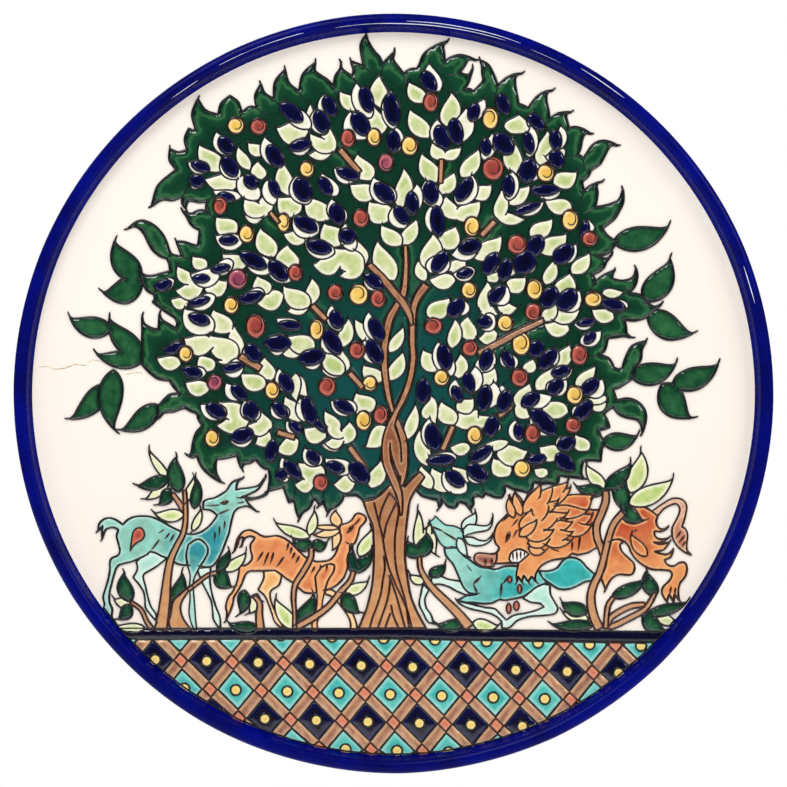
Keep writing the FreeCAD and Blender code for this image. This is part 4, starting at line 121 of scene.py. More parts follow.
def front_islands(node):
    """The outlines of each separate front face of a node, as lists of closed x, z loops."""
    mesh = NODES[node].data
    count = len(mesh.polygons)
    corner = np.empty(count * 3, np.int64)
    mesh.polygons.foreach_get("vertices", corner)
    normal = np.empty(count * 3)
    mesh.polygons.foreach_get("normal", normal)
    place = np.empty(len(mesh.vertices) * 3)
    mesh.vertices.foreach_get("co", place)
    place = place.reshape(-1, 3)
    front = place[corner.reshape(-1, 3)[normal.reshape(-1, 3)[:, 1] < FRONT]]
    keys = {}
    points = []
    triangles = []
    for triangle in front:
        ids = []
        for x, _, z in triangle:
            key = (round(x / MERGE), round(z / MERGE))
            if key not in keys:
                keys[key] = len(points)
                points.append((x, z))
            ids.append(keys[key])
        triangles.append(ids)
    owner = list(range(len(points)))

    def root(i):
        while owner[i] != i:
            owner[i] = owner[owner[i]]
            i = owner[i]
        return i

    follows = {}
    for a, b, c in triangles:
        owner[root(b)] = root(a)
        owner[root(c)] = root(a)
        for edge in ((a, b), (b, c), (c, a)):
            follows[edge] = True
    ahead = {}
    for a, b in follows:
        if (b, a) not in follows:
            ahead.setdefault(a, []).append(b)
    islands = {}
    while ahead:
        start = next(iter(ahead))
        loop = [start]
        here = ahead[start].pop()
        if not ahead[start]:
            del ahead[start]
        while here != start and here in ahead:
            loop.append(here)
            after = ahead[here].pop()
            if not ahead[here]:
                del ahead[here]
            here = after
        if len(loop) > 2:
            islands.setdefault(root(start), []).append(np.array([points[i] for i in loop]))
    return list(islands.values())


def resampled(loop, step):
    """The loop with even points on its long stretches; its own points stay."""
    out = []
    for here, there in zip(loop, np.roll(loop, -1, axis=0)):
        parts = max(1, int(np.linalg.norm(there - here) / step))
        for k in range(parts):
            out.append(here + (there - here) * k / parts)
    return np.array(out)


# Meshes

class Builder:
    """Gathers vertices, faces and two attributes for one piece."""

    def __init__(self):
        self.places = []
        self.faces = []
        self.edge = []
        self.tone = []

    def add(self, places, faces, edge, tone):
        start = len(self.places)
        self.places.extend(places)
        self.faces.extend(tuple(start + i for i in face) for face in faces)
        self.edge.extend(edge)
        self.tone.extend([tone] * len(places))

    def piece(self, name, material, slot):
        mesh = bpy.data.meshes.new(name)
        mesh.from_pydata(self.places, [], self.faces)
        for attribute, values in (("edge", self.edge), ("tone", self.tone)):
            layer = mesh.attributes.new(attribute, "FLOAT", "POINT")
            layer.data.foreach_set("value", values)
        mesh.polygons.foreach_set("use_smooth", [True] * len(mesh.polygons))
        mesh.materials.append(material)
        mesh.update()
        made = bpy.data.objects.new(name, mesh)
        bpy.context.scene.collection.objects.link(made)
        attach(made, "root")
        return made


def inside(points, loops):
    """Which of the points lie inside the loops, holes counted."""
    points = np.asarray(points, float).reshape(-1, 2)
    odd = np.zeros(len(points), bool)
    for loop in loops:
        after = np.roll(loop, -1, axis=0)
        for (ax, az), (bx, bz) in zip(loop, after):
            if az != bz:
                spans = (points[:, 1] > min(az, bz)) & (points[:, 1] <= max(az, bz))
                odd ^= spans & (points[:, 0] < ax + (points[:, 1] - az) / (bz - az) * (bx - ax))
    return odd


def triangulated(points, loops, inner):
    """Triangles inside the loops. Points on the loops come first, then the inner ones."""
    edges = []
    start = 0
    for loop in loops:
        size = len(loop)
        edges += [(start + i, start + (i + 1) % size) for i in range(size)]
        start += size
    everything = [Vector((float(x), float(z))) for x, z in points] + inner
    places, _, faces, _, _, _ = delaunay_2d_cdt(everything, edges, [], 4, 1e-9)
    if len(loops) > 1:
        middles = [[sum(places[i][k] for i in face) / len(face) for k in (0, 1)] for face in faces]
        faces = [face for face, keep in zip(faces, inside(middles, loops)) if keep]
    return places, faces


ROW_PITCH = 0.866            # of the grain, for an even triangular grid
CLEAR_OF_EDGE = 0.45         # of the grain, kept free beside an outline
LUMPS = 0.25                 # of the dome, by which the glaze is uneven


def swollen_field(builder, loops, base, back, dome, shoulder, grain):
    """One closed, softly domed field of glaze between its outlines."""
    loops = [resampled(loop, grain * 0.8) for loop in loops]
    border = np.vstack(loops)
    tree = KDTree(len(border))
    for i, (x, z) in enumerate(border):
        tree.insert((x, z, 0), i)
    tree.balance()
    low = border.min(axis=0)
    high = border.max(axis=0)
    inner = []
    z = low[1]
    shift = 0
    while z < high[1]:
        x = low[0] + shift * grain / 2
        while x < high[0]:
            if tree.find((x, z, 0))[2] > grain * CLEAR_OF_EDGE:
                inner.append(Vector((x, z)))
            x += grain
        z += grain * ROW_PITCH
        shift = 1 - shift
    if inner:
        inner = [point for point, keep in zip(inner, inside(inner, loops)) if keep]
    places, faces = triangulated(border, loops, inner)
    used = sorted({i for face in faces for i in face})
    where = {old: new for new, old in enumerate(used)}
    top = []
    edge = []
    for old in used:
        x, z = places[old]
        away = tree.find((x, z, 0))[2]
        rise = dome * (1 - math.exp(-away / shoulder))
        rise += dome * LUMPS * noise.noise(Vector((x, z, 0)) * 150) * min(1, away / shoulder)
        top.append((x, base - rise, z))
        edge.append(away / MM)
    faces = [tuple(where[i] for i in face) for face in faces]
    rims = {}
    for face in faces:
        for a, b in zip(face, face[1:] + face[:1]):
            rims[(a, b)] = True
    rims = [(a, b) for a, b in rims if (b, a) not in rims]
    skirt = {}
    for a, b in rims:
        for i in (a, b):
            if i not in skirt:
                skirt[i] = len(top)
                top.append((top[i][0], back, top[i][2]))
                edge.append(0.0)
    sides = [(b, a, skirt[a], skirt[b]) for a, b in rims]
    if faces:
        a, b, c = (Vector(top[i]) for i in faces[0])
        if (b - a).cross(c - a).y > 0:
            faces = [face[::-1] for face in faces]
            sides = [side[::-1] for side in sides]
    centre = border.mean(axis=0)
    tone = 0.5 + 0.5 * noise.noise(Vector((centre[0], centre[1], 0.3)) * 9000)
    builder.add(top, faces + sides, edge, tone)


BEAD = [(-0.5, 0.0), (-0.36, 0.72), (0.0, 1.0), (0.36, 0.72), (0.5, 0.0)]
BEAD_STEP = 0.0005
UNEVEN = 0.22                # share by which a trailed line swells and thins
SHARP_CUSP = 0.2             # below this the two directions at a point nearly cancel


def trailed_line(builder, path, base, width, height, is_closed=True, taper=False):
    """A rounded bead of glaze laid along a path."""
    if is_closed:
        path = resampled(path, BEAD_STEP)
        before = np.roll(path, 1, axis=0)
        after = np.roll(path, -1, axis=0)
    else:
        before = np.vstack([path[:1], path[:-1]])
        after = np.vstack([path[1:], path[-1:]])
    into = path - before
    out = after - path
    into /= np.maximum(np.linalg.norm(into, axis=1, keepdims=True), 1e-9)
    out /= np.maximum(np.linalg.norm(out, axis=1, keepdims=True), 1e-9)
    along = into + out
    size = np.linalg.norm(along, axis=1, keepdims=True)
    along = np.where(size > SHARP_CUSP, along / np.maximum(size, 1e-9), into)
    side = np.stack([-along[:, 1], along[:, 0]], axis=1)
    ring = len(BEAD)
    count = len(path)
    places = []
    for i, (x, z) in enumerate(path):
        swell = 1 + UNEVEN * noise.noise(Vector((x, z, 0.7)) * 260)
        if taper:
            swell *= math.sin(math.pi * (i + 0.6) / (count + 0.2)) ** 0.5
        for across, up in BEAD:
            reach = across * width * swell
            places.append((x + side[i][0] * reach, base - up * height, z + side[i][1] * reach))
    faces = []
    for i in range(count if is_closed else count - 1):
        j = (i + 1) % count
        for k in range(ring):
            m = (k + 1) % ring
            faces.append((i * ring + k, j * ring + k, j * ring + m, i * ring + m))
    if not is_closed:
        faces.append(tuple(range(ring)))
        faces.append(tuple(range((count - 1) * ring, count * ring))[::-1])
    builder.add(places, faces, [0.0] * len(places), 0.5)


# Materials

class Glaze:
    """A node material, built from left to right."""

    def __init__(self, name):
        self.material = bpy.data.materials.new(name)
        self.material.use_nodes = True
        self.tree = self.material.node_tree
        self.shader = self.tree.nodes["Principled BSDF"]
        self.coords = self.node("ShaderNodeTexCoord").outputs["Object"]

    def node(self, kind, **values):
        made = self.tree.nodes.new(kind)
        for key, value in values.items():
            setattr(made, key, value)
        return made

    def link(self, source, target):
        self.tree.links.new(source, target)

    def attribute(self, name):
        return self.node("ShaderNodeAttribute", attribute_name=name).outputs["Fac"]

    def noise(self, scale, detail=3.0, rough=0.55):
        made = self.node("ShaderNodeTexNoise")
        made.inputs["Scale"].default_value = scale
        made.inputs["Detail"].default_value = detail
        made.inputs["Roughness"].default_value = rough
        self.link(self.coords, made.inputs["Vector"])
        return made.outputs["Fac"]

    def ramp(self, source, stops, kind="LINEAR"):
        made = self.node("ShaderNodeValToRGB")
        made.color_ramp.interpolation = kind
        elements = made.color_ramp.elements
        while len(elements) < len(stops):
            elements.new(0.5)
        for element, (place, colour) in zip(elements, stops):
            element.position = place
            element.color = (*colour, 1)
        self.link(source, made.inputs["Fac"])
        return made.outputs["Color"]

    def reach(self, source, low, high):
        """The source stretched so that low is 0 and high is 1."""
        made = self.node("ShaderNodeMapRange")
        made.inputs["From Min"].default_value = low
        made.inputs["From Max"].default_value = high
        self.link(source, made.inputs["Value"])
        return made.outputs["Result"]

    def sum(self, first, second, share=0.5):
        """The first with a share of the second, taken about its middle."""
        made = self.node("ShaderNodeMath", operation="MULTIPLY_ADD")
        self.link(second, made.inputs[0])
        made.inputs[1].default_value = share
        shift = self.node("ShaderNodeMath", operation="SUBTRACT")
        self.link(first, shift.inputs[0])
        shift.inputs[1].default_value = share / 2
        self.link(shift.outputs[0], made.inputs[2])
        return made.outputs[0]

    def mix(self, factor, first, second, blend="MIX"):
        made = self.node("ShaderNodeMix", data_type="RGBA", blend_type=blend)
        for socket, value in (("Factor", factor), ("A", first), ("B", second)):
            target = next(s for s in made.inputs if s.name == socket and s.enabled)
            if isinstance(value, (tuple, float, int)):
                target.default_value = (*value, 1) if isinstance(value, tuple) else value
            else:
                self.link(value, target)
        return next(s for s in made.outputs if s.enabled)

    def finish(self, colour, roughness=0.16, bump=0.12, bump_scale=900.0, coat=0.6,
               specular=0.45):
        self.link(colour, self.shader.inputs["Base Color"])
        self.shader.inputs["Coat Weight"].default_value = coat
        self.shader.inputs["Coat Roughness"].default_value = 0.06
        self.shader.inputs["Specular IOR Level"].default_value = specular
        rough = self.node("ShaderNodeMapRange")
        rough.inputs["To Min"].default_value = roughness * 0.75
        rough.inputs["To Max"].default_value = roughness * 1.35
        self.link(self.noise(400.0), rough.inputs["Value"])
        self.link(rough.outputs["Result"], self.shader.inputs["Roughness"])
        relief = self.node("ShaderNodeBump")
        relief.inputs["Strength"].default_value = bump
        relief.inputs["Distance"].default_value = 0.0004
        self.link(self.noise(bump_scale, 2.0), relief.inputs["Height"])
        self.link(relief.outputs["Normal"], self.shader.inputs["Normal"])
        return self.material


def field_glaze(name, edge, middle, deep, reach=2.2, cloud=260.0):
    """A brushed glaze: one colour by its outline, two that mingle in the middle."""
    glaze = Glaze(name)
    inner = glaze.reach(glaze.sum(glaze.noise(cloud), glaze.attribute("tone"), 0.5), 0.3, 0.7)
    mingled = glaze.mix(inner, srgb(*middle), srgb(*deep))
    inward = glaze.reach(glaze.attribute("edge"), 0.35, reach)
    spread = glaze.reach(glaze.sum(inward, glaze.noise(cloud * 1.7), 0.5), 0.1, 0.9)
    return glaze.finish(glaze.mix(spread, srgb(*edge), mingled))


def outlined(glaze, body, edge):
    """The body's colour, clouded, with its own colour by the outline, finished as a glaze."""
    clouds = glaze.reach(glaze.noise(240.0), 0.40, 0.75)
    body = glaze.mix(clouds, body, (0.82, 0.66, 0.60), "MULTIPLY")
    inward = glaze.reach(glaze.attribute("edge"), 0.3, 1.5)
    spread = glaze.reach(glaze.sum(inward, glaze.noise(440.0), 0.5), 0.1, 0.9)
    return glaze.finish(glaze.mix(spread, srgb(*edge), body))


def deepened_glaze(name, away, near, place, reach, edge):
    """A brushed glaze that deepens around a place."""
    glaze = Glaze(name)
    gap = glaze.node("ShaderNodeVectorMath", operation="DISTANCE")
    glaze.link(glaze.coords, gap.inputs[0])
    gap.inputs[1].default_value = place
    far = glaze.sum(gap.outputs["Value"], glaze.noise(170.0), reach)
    passed = glaze.reach(far, reach * 1.5, reach * 0.5)
    return outlined(glaze, glaze.mix(passed, srgb(*away), srgb(*near)), edge)


def graded_glaze(name, near, far, start, end, edge):
    """A brushed glaze that passes from one colour to another between two points."""
    glaze = Glaze(name)
    across = Vector(end) - Vector(start)
    shifted = glaze.node("ShaderNodeVectorMath", operation="SUBTRACT")
    glaze.link(glaze.coords, shifted.inputs[0])
    shifted.inputs[1].default_value = start
    along = glaze.node("ShaderNodeVectorMath", operation="DOT_PRODUCT")
    glaze.link(shifted.outputs["Vector"], along.inputs[0])
    along.inputs[1].default_value = across / across.length_squared
    passed = glaze.reach(glaze.sum(along.outputs["Value"], glaze.noise(220.0), 0.5), 0.0, 1.0)
    return outlined(glaze, glaze.mix(passed, srgb(*near), srgb(*far)), edge)


def crown_glaze():
    """Greens brushed lighter just inside the outline, and teal around the fork of the trunk."""
    glaze = Glaze("glaze_canopy_ground")
    inward = glaze.reach(glaze.attribute("edge"), 0.0, 6.0)
    brushed = glaze.sum(inward, glaze.noise(190.0), 0.8)
    green = glaze.ramp(brushed, [
        (0.0, srgb(8, 40, 28)), (0.14, srgb(14, 60, 38)), (0.30, srgb(52, 106, 66)),
        (0.46, srgb(18, 70, 44)), (1.0, srgb(12, 54, 38)),
    ])
    away = glaze.node("ShaderNodeVectorMath", operation="DISTANCE")
    glaze.link(glaze.coords, away.inputs[0])
    away.inputs[1].default_value = FORK
    near = glaze.reach(glaze.sum(away.outputs["Value"], glaze.noise(70.0), 0.03), 0.072, 0.020)
    return glaze.finish(glaze.mix(near, green, srgb(16, 74, 72)))


def line_glaze(name, colour):
    glaze = Glaze(name)
    shade = tuple(min(255, value * 1.5 + 14) for value in colour)
    return glaze.finish(
        glaze.mix(glaze.reach(glaze.noise(500.0), 0.35, 0.75), srgb(*colour), srgb(*shade)),
        roughness=0.25, coat=0.3,
    )


# Colour of each painted node: by the outline, in the middle, where the glaze is deepest
FIELD_COLOURS = {
    "outer_leaves": ((12, 52, 34), (48, 106, 64), (20, 72, 46)),
    "sapling_leaves": ((10, 48, 36), (52, 108, 70), (16, 64, 44)),
    "sapling_pale_leaves": ((250, 248, 214), (214, 222, 150), (172, 200, 112)),
    "pale_leaves": ((250, 246, 226), (222, 224, 178), (180, 198, 124)),
    "olive_husks": ((255, 251, 242), (252, 246, 230), (226, 226, 196)),
    "olives": ((10, 14, 74), (8, 8, 50), (5, 5, 30)),
    "yellow_fruits": ((255, 226, 150), (244, 202, 102), (224, 172, 76)),
    "red_fruits": ((206, 108, 92), (166, 76, 64), (138, 56, 50)),
    "plum_fruits": ((196, 110, 122), (160, 80, 98), (132, 60, 84)),
    "gazelle_far": ((226, 244, 234), (196, 234, 218), (170, 222, 206)),
    "doe": ((250, 186, 128), (232, 150, 96), (212, 116, 72)),
    "doe_far": ((255, 220, 168), (246, 190, 120), (236, 168, 100)),
    "muzzle": ((208, 150, 124), (170, 112, 94), (140, 86, 74)),
    "spot": ((208, 116, 92), (178, 72, 58), (150, 52, 46)),
    "straps": ((222, 180, 138), (182, 126, 92), (150, 98, 84)),
    "knots": ((232, 150, 112), (212, 116, 92), (196, 96, 84)),
    "cobalt": ((16, 16, 78), (10, 8, 46), (6, 5, 28)),
    "turquoise": ((150, 222, 212), (96, 200, 190), (60, 176, 170)),
    "studs": ((252, 226, 140), (244, 206, 104), (226, 176, 80)),
    "bar": ((8, 8, 44), (10, 9, 46), (5, 5, 30)),
    "teeth": ((255, 255, 252), (250, 248, 240), (236, 232, 220)),
    "ink": ((58, 22, 14), (44, 16, 12), (32, 12, 10)),
}

# Painted looks that pass from a near to a far colour: the two, their places, the outline's
GRADED_COLOURS = {
    "wood": ((150, 96, 68), (214, 160, 112), (0, 0, -0.020), (0, 0, -0.085), (202, 154, 116)),
    "gazelle": ((170, 226, 210), (58, 182, 180), (0.024, 0, -0.06), (0.05, 0, -0.07),
                (150, 220, 210)),
    "tail": ((230, 180, 146), (196, 128, 100), (0.10, 0, -0.04), (0.12, 0, -0.06),
             (240, 200, 168)),
}
FORK = (0.0, FACE_Y, -0.005)

# Painted looks that deepen around a place: the colour away from it, the colour at it, the
# place, how far the deep colour reaches, and the outline's colour
DEEPENED_COLOURS = {
    "lion": ((238, 160, 100), (196, 84, 54), (0.090, FACE_Y, -0.044), 0.020, (246, 184, 124)),
    "buck": ((150, 216, 200), (54, 156, 166), (-0.077, FACE_Y, -0.060), 0.012, (192, 232, 220)),
}

BLACK = (14, 16, 20)
MAROON = (40, 14, 10)

# Painted nodes: looks, colour of the outline or none, share of the usual line width
PAINTED = {
    "canopy_ground": ("canopy_ground", BLACK, 1.1),
    "outer_leaves_left": ("outer_leaves", BLACK, 1.0),
    "outer_leaves_right": ("outer_leaves", BLACK, 1.0),
    "pale_leaves_upper_left": ("pale_leaves", BLACK, 0.8),
    "pale_leaves_upper_right": ("pale_leaves", BLACK, 0.8),
    "pale_leaves_lower_left": ("pale_leaves", BLACK, 0.8),
    "pale_leaves_lower_right": ("pale_leaves", BLACK, 0.8),
    "olive_husks_left": ("olive_husks", BLACK, 0.75),
    "olive_husks_right": ("olive_husks", BLACK, 0.75),
    "olives_left": ("olives", BLACK, 0.7),
    "olives_right": ("olives", BLACK, 0.7),
    "yellow_fruits": ("yellow_fruits", MAROON, 0.9),
    "red_fruits": ("red_fruits", MAROON, 0.9),
    "plum_fruits": ("plum_fruits", MAROON, 0.9),
    "trunk": ("wood", MAROON, 1.1),
    "trunk_strands": ("wood", MAROON, 1.0),
    "branches": ("wood", MAROON, 1.0),
    "fruit_stems": ("wood", MAROON, 0.9),
    "trunk_lines": ("ink", None, 0),
    "left_sapling_stems": ("wood", MAROON, 0.95),
    "middle_sapling_stems": ("wood", MAROON, 0.95),
    "right_sapling_stems": ("wood", MAROON, 0.95),
    "left_sapling_leaves": ("sapling_leaves", BLACK, 0.9),
    "middle_sapling_leaves": ("sapling_leaves", BLACK, 0.9),
    "right_sapling_leaves": ("sapling_leaves", BLACK, 0.9),
    "left_sapling_pale_leaves": ("sapling_pale_leaves", BLACK, 0.85),
    "middle_sapling_pale_leaves": ("sapling_pale_leaves", BLACK, 0.85),
    "right_sapling_pale_leaves": ("sapling_pale_leaves", BLACK, 0.85),
    "buck_body": ("buck", BLACK, 1.0),
    "buck_foreleg": ("buck", BLACK, 0.7),
    "buck_far_legs": ("gazelle_far", BLACK, 0.9),
    "doe_body": ("doe", MAROON, 1.0),
    "doe_foreleg": ("doe", MAROON, 0.7),
    "doe_ears": ("doe_far", MAROON, 0.8),
    "doe_far_legs": ("doe_far", MAROON, 0.9),
    "gazelle_head": ("gazelle", BLACK, 0.7),
    "gazelle_horns": ("gazelle_far", BLACK, 0.8),
    "gazelle_ears": ("gazelle_far", BLACK, 0.8),
    "gazelle_body": ("gazelle", BLACK, 1.0),
    "gazelle_haunch": ("gazelle", BLACK, 1.0),
    "gazelle_near_leg": ("gazelle_far", BLACK, 0.9),
    "gazelle_far_leg": ("gazelle_far", BLACK, 0.9),
    "lion_body": ("lion", MAROON, 1.0),
    "lion_tail": ("tail", MAROON, 0.9),
    "lion_hind_leg": ("lion", MAROON, 1.0),
    "lion_muzzle": ("muzzle", MAROON, 0.8),
    "lion_teeth": ("teeth", MAROON, 0.7),
    "lion_mane_locks": ("lion", MAROON, 0.8),
    "flank_spots": ("spot", MAROON, 0.8),
    "figure_lines": ("ink", None, 0),
    "lattice_straps": ("straps", BLACK, 1.0),
    "lattice_knots": ("knots", MAROON, 0.9),
    "cobalt_diamonds": ("cobalt", BLACK, 0.9),
    "turquoise_diamonds": ("turquoise", BLACK, 0.9),
    "diamond_studs": ("studs", BLACK, 0.9),
    "ground_line": ("bar", BLACK, 0.8),
}


# Looks whose pointed tips the brush runs on from, and how far
WISPS = {
    "canopy_ground": 0.0014, "outer_leaves": 0.0022, "sapling_leaves": 0.0020,
    "sapling_pale_leaves": 0.0020, "pale_leaves": 0.0010, "olive_husks": 0.0009,
    "lion": 0.0012, "gazelle_far": 0.0012, "buck": 0.0010, "doe": 0.0010,
}
TIP_REACH = 0.0012           # how far to each side a corner is judged
TIP_TURN = 1.75              # radians of turning that make a corner a tip or a notch
VEIN = 0.0060                # how far a line runs in from a notch of the crown
WISP_CURL = 0.35             # sideways, as a share of a wisp's length
VEIN_CURL = 0.2


def look_material(look):
    name = "glaze_" + look
    made = bpy.data.materials.get(name)
    if made:
        return made
    if look == "canopy_ground":
        return crown_glaze()
    if look in DEEPENED_COLOURS:
        return deepened_glaze(name, *DEEPENED_COLOURS[look])
    if look in GRADED_COLOURS:
        return graded_glaze(name, *GRADED_COLOURS[look])
    return field_glaze(name, *FIELD_COLOURS[look])


def corners(loop):
    """Each sharp corner of a closed loop: its place, the way it points, and if it is a tip."""
    even = resampled(loop, TIP_REACH / 4)
    nearby = KDTree(len(even))
    for i, (x, z) in enumerate(even):
        nearby.insert((x, z, 0), i)
    nearby.balance()
    area = float(np.sum(even[:, 0] * np.roll(even[:, 1], -1) - even[:, 1] * np.roll(even[:, 0], -1)))
    found = []
    for x, z in loop:
        here = nearby.find((x, z, 0))[1]
        back = even[here] - walked(even, here, -1)
        ahead = walked(even, here, 1) - even[here]
        cross = float(back[0] * ahead[1] - back[1] * ahead[0])
        turn = abs(math.atan2(cross, float(back @ ahead)))
        points = back - ahead
        size = float(np.linalg.norm(points))
        if turn > TIP_TURN and size > 0:
            found.append((np.array([x, z]), points / size, cross * area > 0))
    apart = []
    for row in found:
        if all(np.linalg.norm(row[0] - other[0]) > TIP_REACH for other in apart):
            apart.append(row)
    return apart


def walked(even, start, way):
    """The point that lies the judging reach along the loop."""
    gone = 0.0
    i = start
    while gone < TIP_REACH:
        j = (i + way) % len(even)
        gone += max(float(np.linalg.norm(even[j] - even[i])), TIP_REACH / 40)
        i = j
    return even[i]


def sweep(place, way, reach, curl):
    """A short brush stroke from a place along a way, curling to one side."""
    side = np.array([-way[1], way[0]])
    if side[1] < 0:
        side = -side
    steps = [k / 7 for k in range(8)]
    return np.array([place + way * reach * t + side * reach * curl * t * t for t in steps])


def painted(prefixes):
    return [node for node in PAINTED if node.startswith(prefixes) and node in NODES]


BEDDED = 0.00003             # how far a trailed line's foot lies in the glaze


def trailed_outline(trail, loop, look, base, width, height):
    """An outline in trailed glaze, with its wisps and, in the crown, its veins."""
    away = np.linalg.norm(loop, axis=1, keepdims=True)
    kept_in = loop * np.minimum(1, (WELL_RADIUS - width) / away)
    trailed_line(trail, kept_in, base, width, height)
    if look not in WISPS:
        return
    for place, way, is_tip in corners(loop):
        if is_tip:
            path = sweep(place - way * width, way, WISPS[look] + width, WISP_CURL)
            trailed_line(trail, path, base, width * 0.9, height, is_closed=False, taper=True)
        elif look == "canopy_ground":
            path = sweep(place, way, VEIN, VEIN_CURL)
            trailed_line(trail, path, base, width * 0.8, height, is_closed=False, taper=True)


def paint(nodes, line_name):
    """Replace each node by its glazed field, and trail one piece of lines of each colour."""
    settings = bpy.context.scene.plate_paint
    lines = {}
    for node in nodes:
        look, line_colour, share = PAINTED[node]
        low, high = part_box(node)
        builder = Builder()
        is_line = look == "ink"
        shoulder = settings.shoulder * (0.3 if is_line else 1)
        grain = settings.grain * (1.6 if node in ("canopy_ground", "lattice_straps") else 1)
        for loops in front_islands(node):
            swollen_field(builder, loops, low[1], high[1], settings.dome, shoulder, grain)
            if line_colour:
                trail = lines.setdefault(line_colour, Builder())
                width = settings.line_width * share
                height = settings.line_height + settings.dome * 0.5
                for loop in loops:
                    trailed_outline(trail, loop, look, low[1] + BEDDED, width, height)
        piece = builder.piece(node + "_glaze", look_material(look), SLOTS[node])
        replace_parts(piece, node)
    for colour, trail in lines.items():
        shade = "black" if colour == BLACK else "maroon"
        name = "line_" + shade
        material = bpy.data.materials.get(name) or line_glaze(name, colour)
        trail.piece(line_name + "_" + shade, material, SLOTS["figure_lines"])


# The plate's own body, turned on the wheel

def spun(name, section, material, steps=256, wobble=0.0):
    """Spin a closed or open section of radius, y points about the plate's axis."""
    bpy.ops.object.select_all(action="DESELECT")
    bpy.ops.mesh.primitive_circle_add(vertices=len(section), radius=PLATE_RADIUS, fill_type="NOTHING")
    made = bpy.context.object
    made.name = name
    made.data.name = name
    mesh = made.data
    for vertex, (radius, y) in zip(mesh.vertices, section):
        vertex.co = (radius, y, 0)
    bpy.ops.object.mode_set(mode="EDIT")
    bpy.ops.mesh.select_all(action="SELECT")
    bpy.ops.mesh.spin(steps=steps, angle=math.tau, center=(0, 0, 0), axis=(0, 1, 0))
    bpy.ops.mesh.select_all(action="SELECT")
    bpy.ops.mesh.remove_doubles(threshold=1e-5)
    bpy.ops.mesh.normals_make_consistent(inside=False)
    bpy.ops.object.mode_set(mode="OBJECT")
    for vertex in mesh.vertices:
        x, y, z = vertex.co
        radius = math.hypot(x, z)
        if wobble and radius > 0:
            share = noise.noise(Vector((x, z, 0)) * 14) * wobble * (radius / PLATE_RADIUS) ** 4
            vertex.co.x -= x / radius * abs(share)
            vertex.co.z -= z / radius * abs(share)
            vertex.co.y += abs(share) * 0.5
    bpy.ops.object.shade_smooth_by_angle(angle=math.radians(50))
    mesh.materials.append(material)
    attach(made, "root")
    return made


def arc(centre_r, centre_y, radius, start, end, count):
    out = []
    for i in range(count):
        turn = math.radians(start + (end - start) * i / (count - 1))
        out.append((centre_r + radius * math.cos(turn), centre_y - radius * math.sin(turn)))
    return out


def white_ground():
    glaze = Glaze("white_ground")
    settings = bpy.context.scene.plate_body
    warm = glaze.mix(glaze.reach(glaze.noise(9.0), 0.35, 0.7), tuple(settings.white),
                     srgb(252, 242, 231))
    fine = glaze.mix(glaze.reach(glaze.noise(1500.0), 0.70, 0.78), warm, srgb(238, 222, 204))
    return glaze.finish(fine, roughness=0.12, bump=0.05, bump_scale=120.0)


def cobalt_rim():
    glaze = Glaze("cobalt_rim")
    settings = bpy.context.scene.plate_body
    deep = glaze.mix(glaze.reach(glaze.noise(60.0), 0.35, 0.7), tuple(settings.rim),
                     srgb(4, 6, 84))
    return glaze.finish(
        deep, roughness=0.26, bump=0.05, bump_scale=160.0, coat=0.0, specular=0.06
    )


def back_clay():
    glaze = Glaze("fired_clay")
    settings = bpy.context.scene.plate_body
    body = glaze.mix(glaze.reach(glaze.noise(40.0), 0.3, 0.7), tuple(settings.clay),
                     srgb(222, 202, 174))
    specks = glaze.mix(glaze.reach(glaze.noise(1100.0), 0.66, 0.72), body, srgb(150, 112, 84))
    return glaze.finish(specks, roughness=0.34, bump=0.25, bump_scale=700.0, coat=0.25)


GLAZE = 0.0003
LIP_GLAZE = 0.0005
SWEEP_STEPS = 15


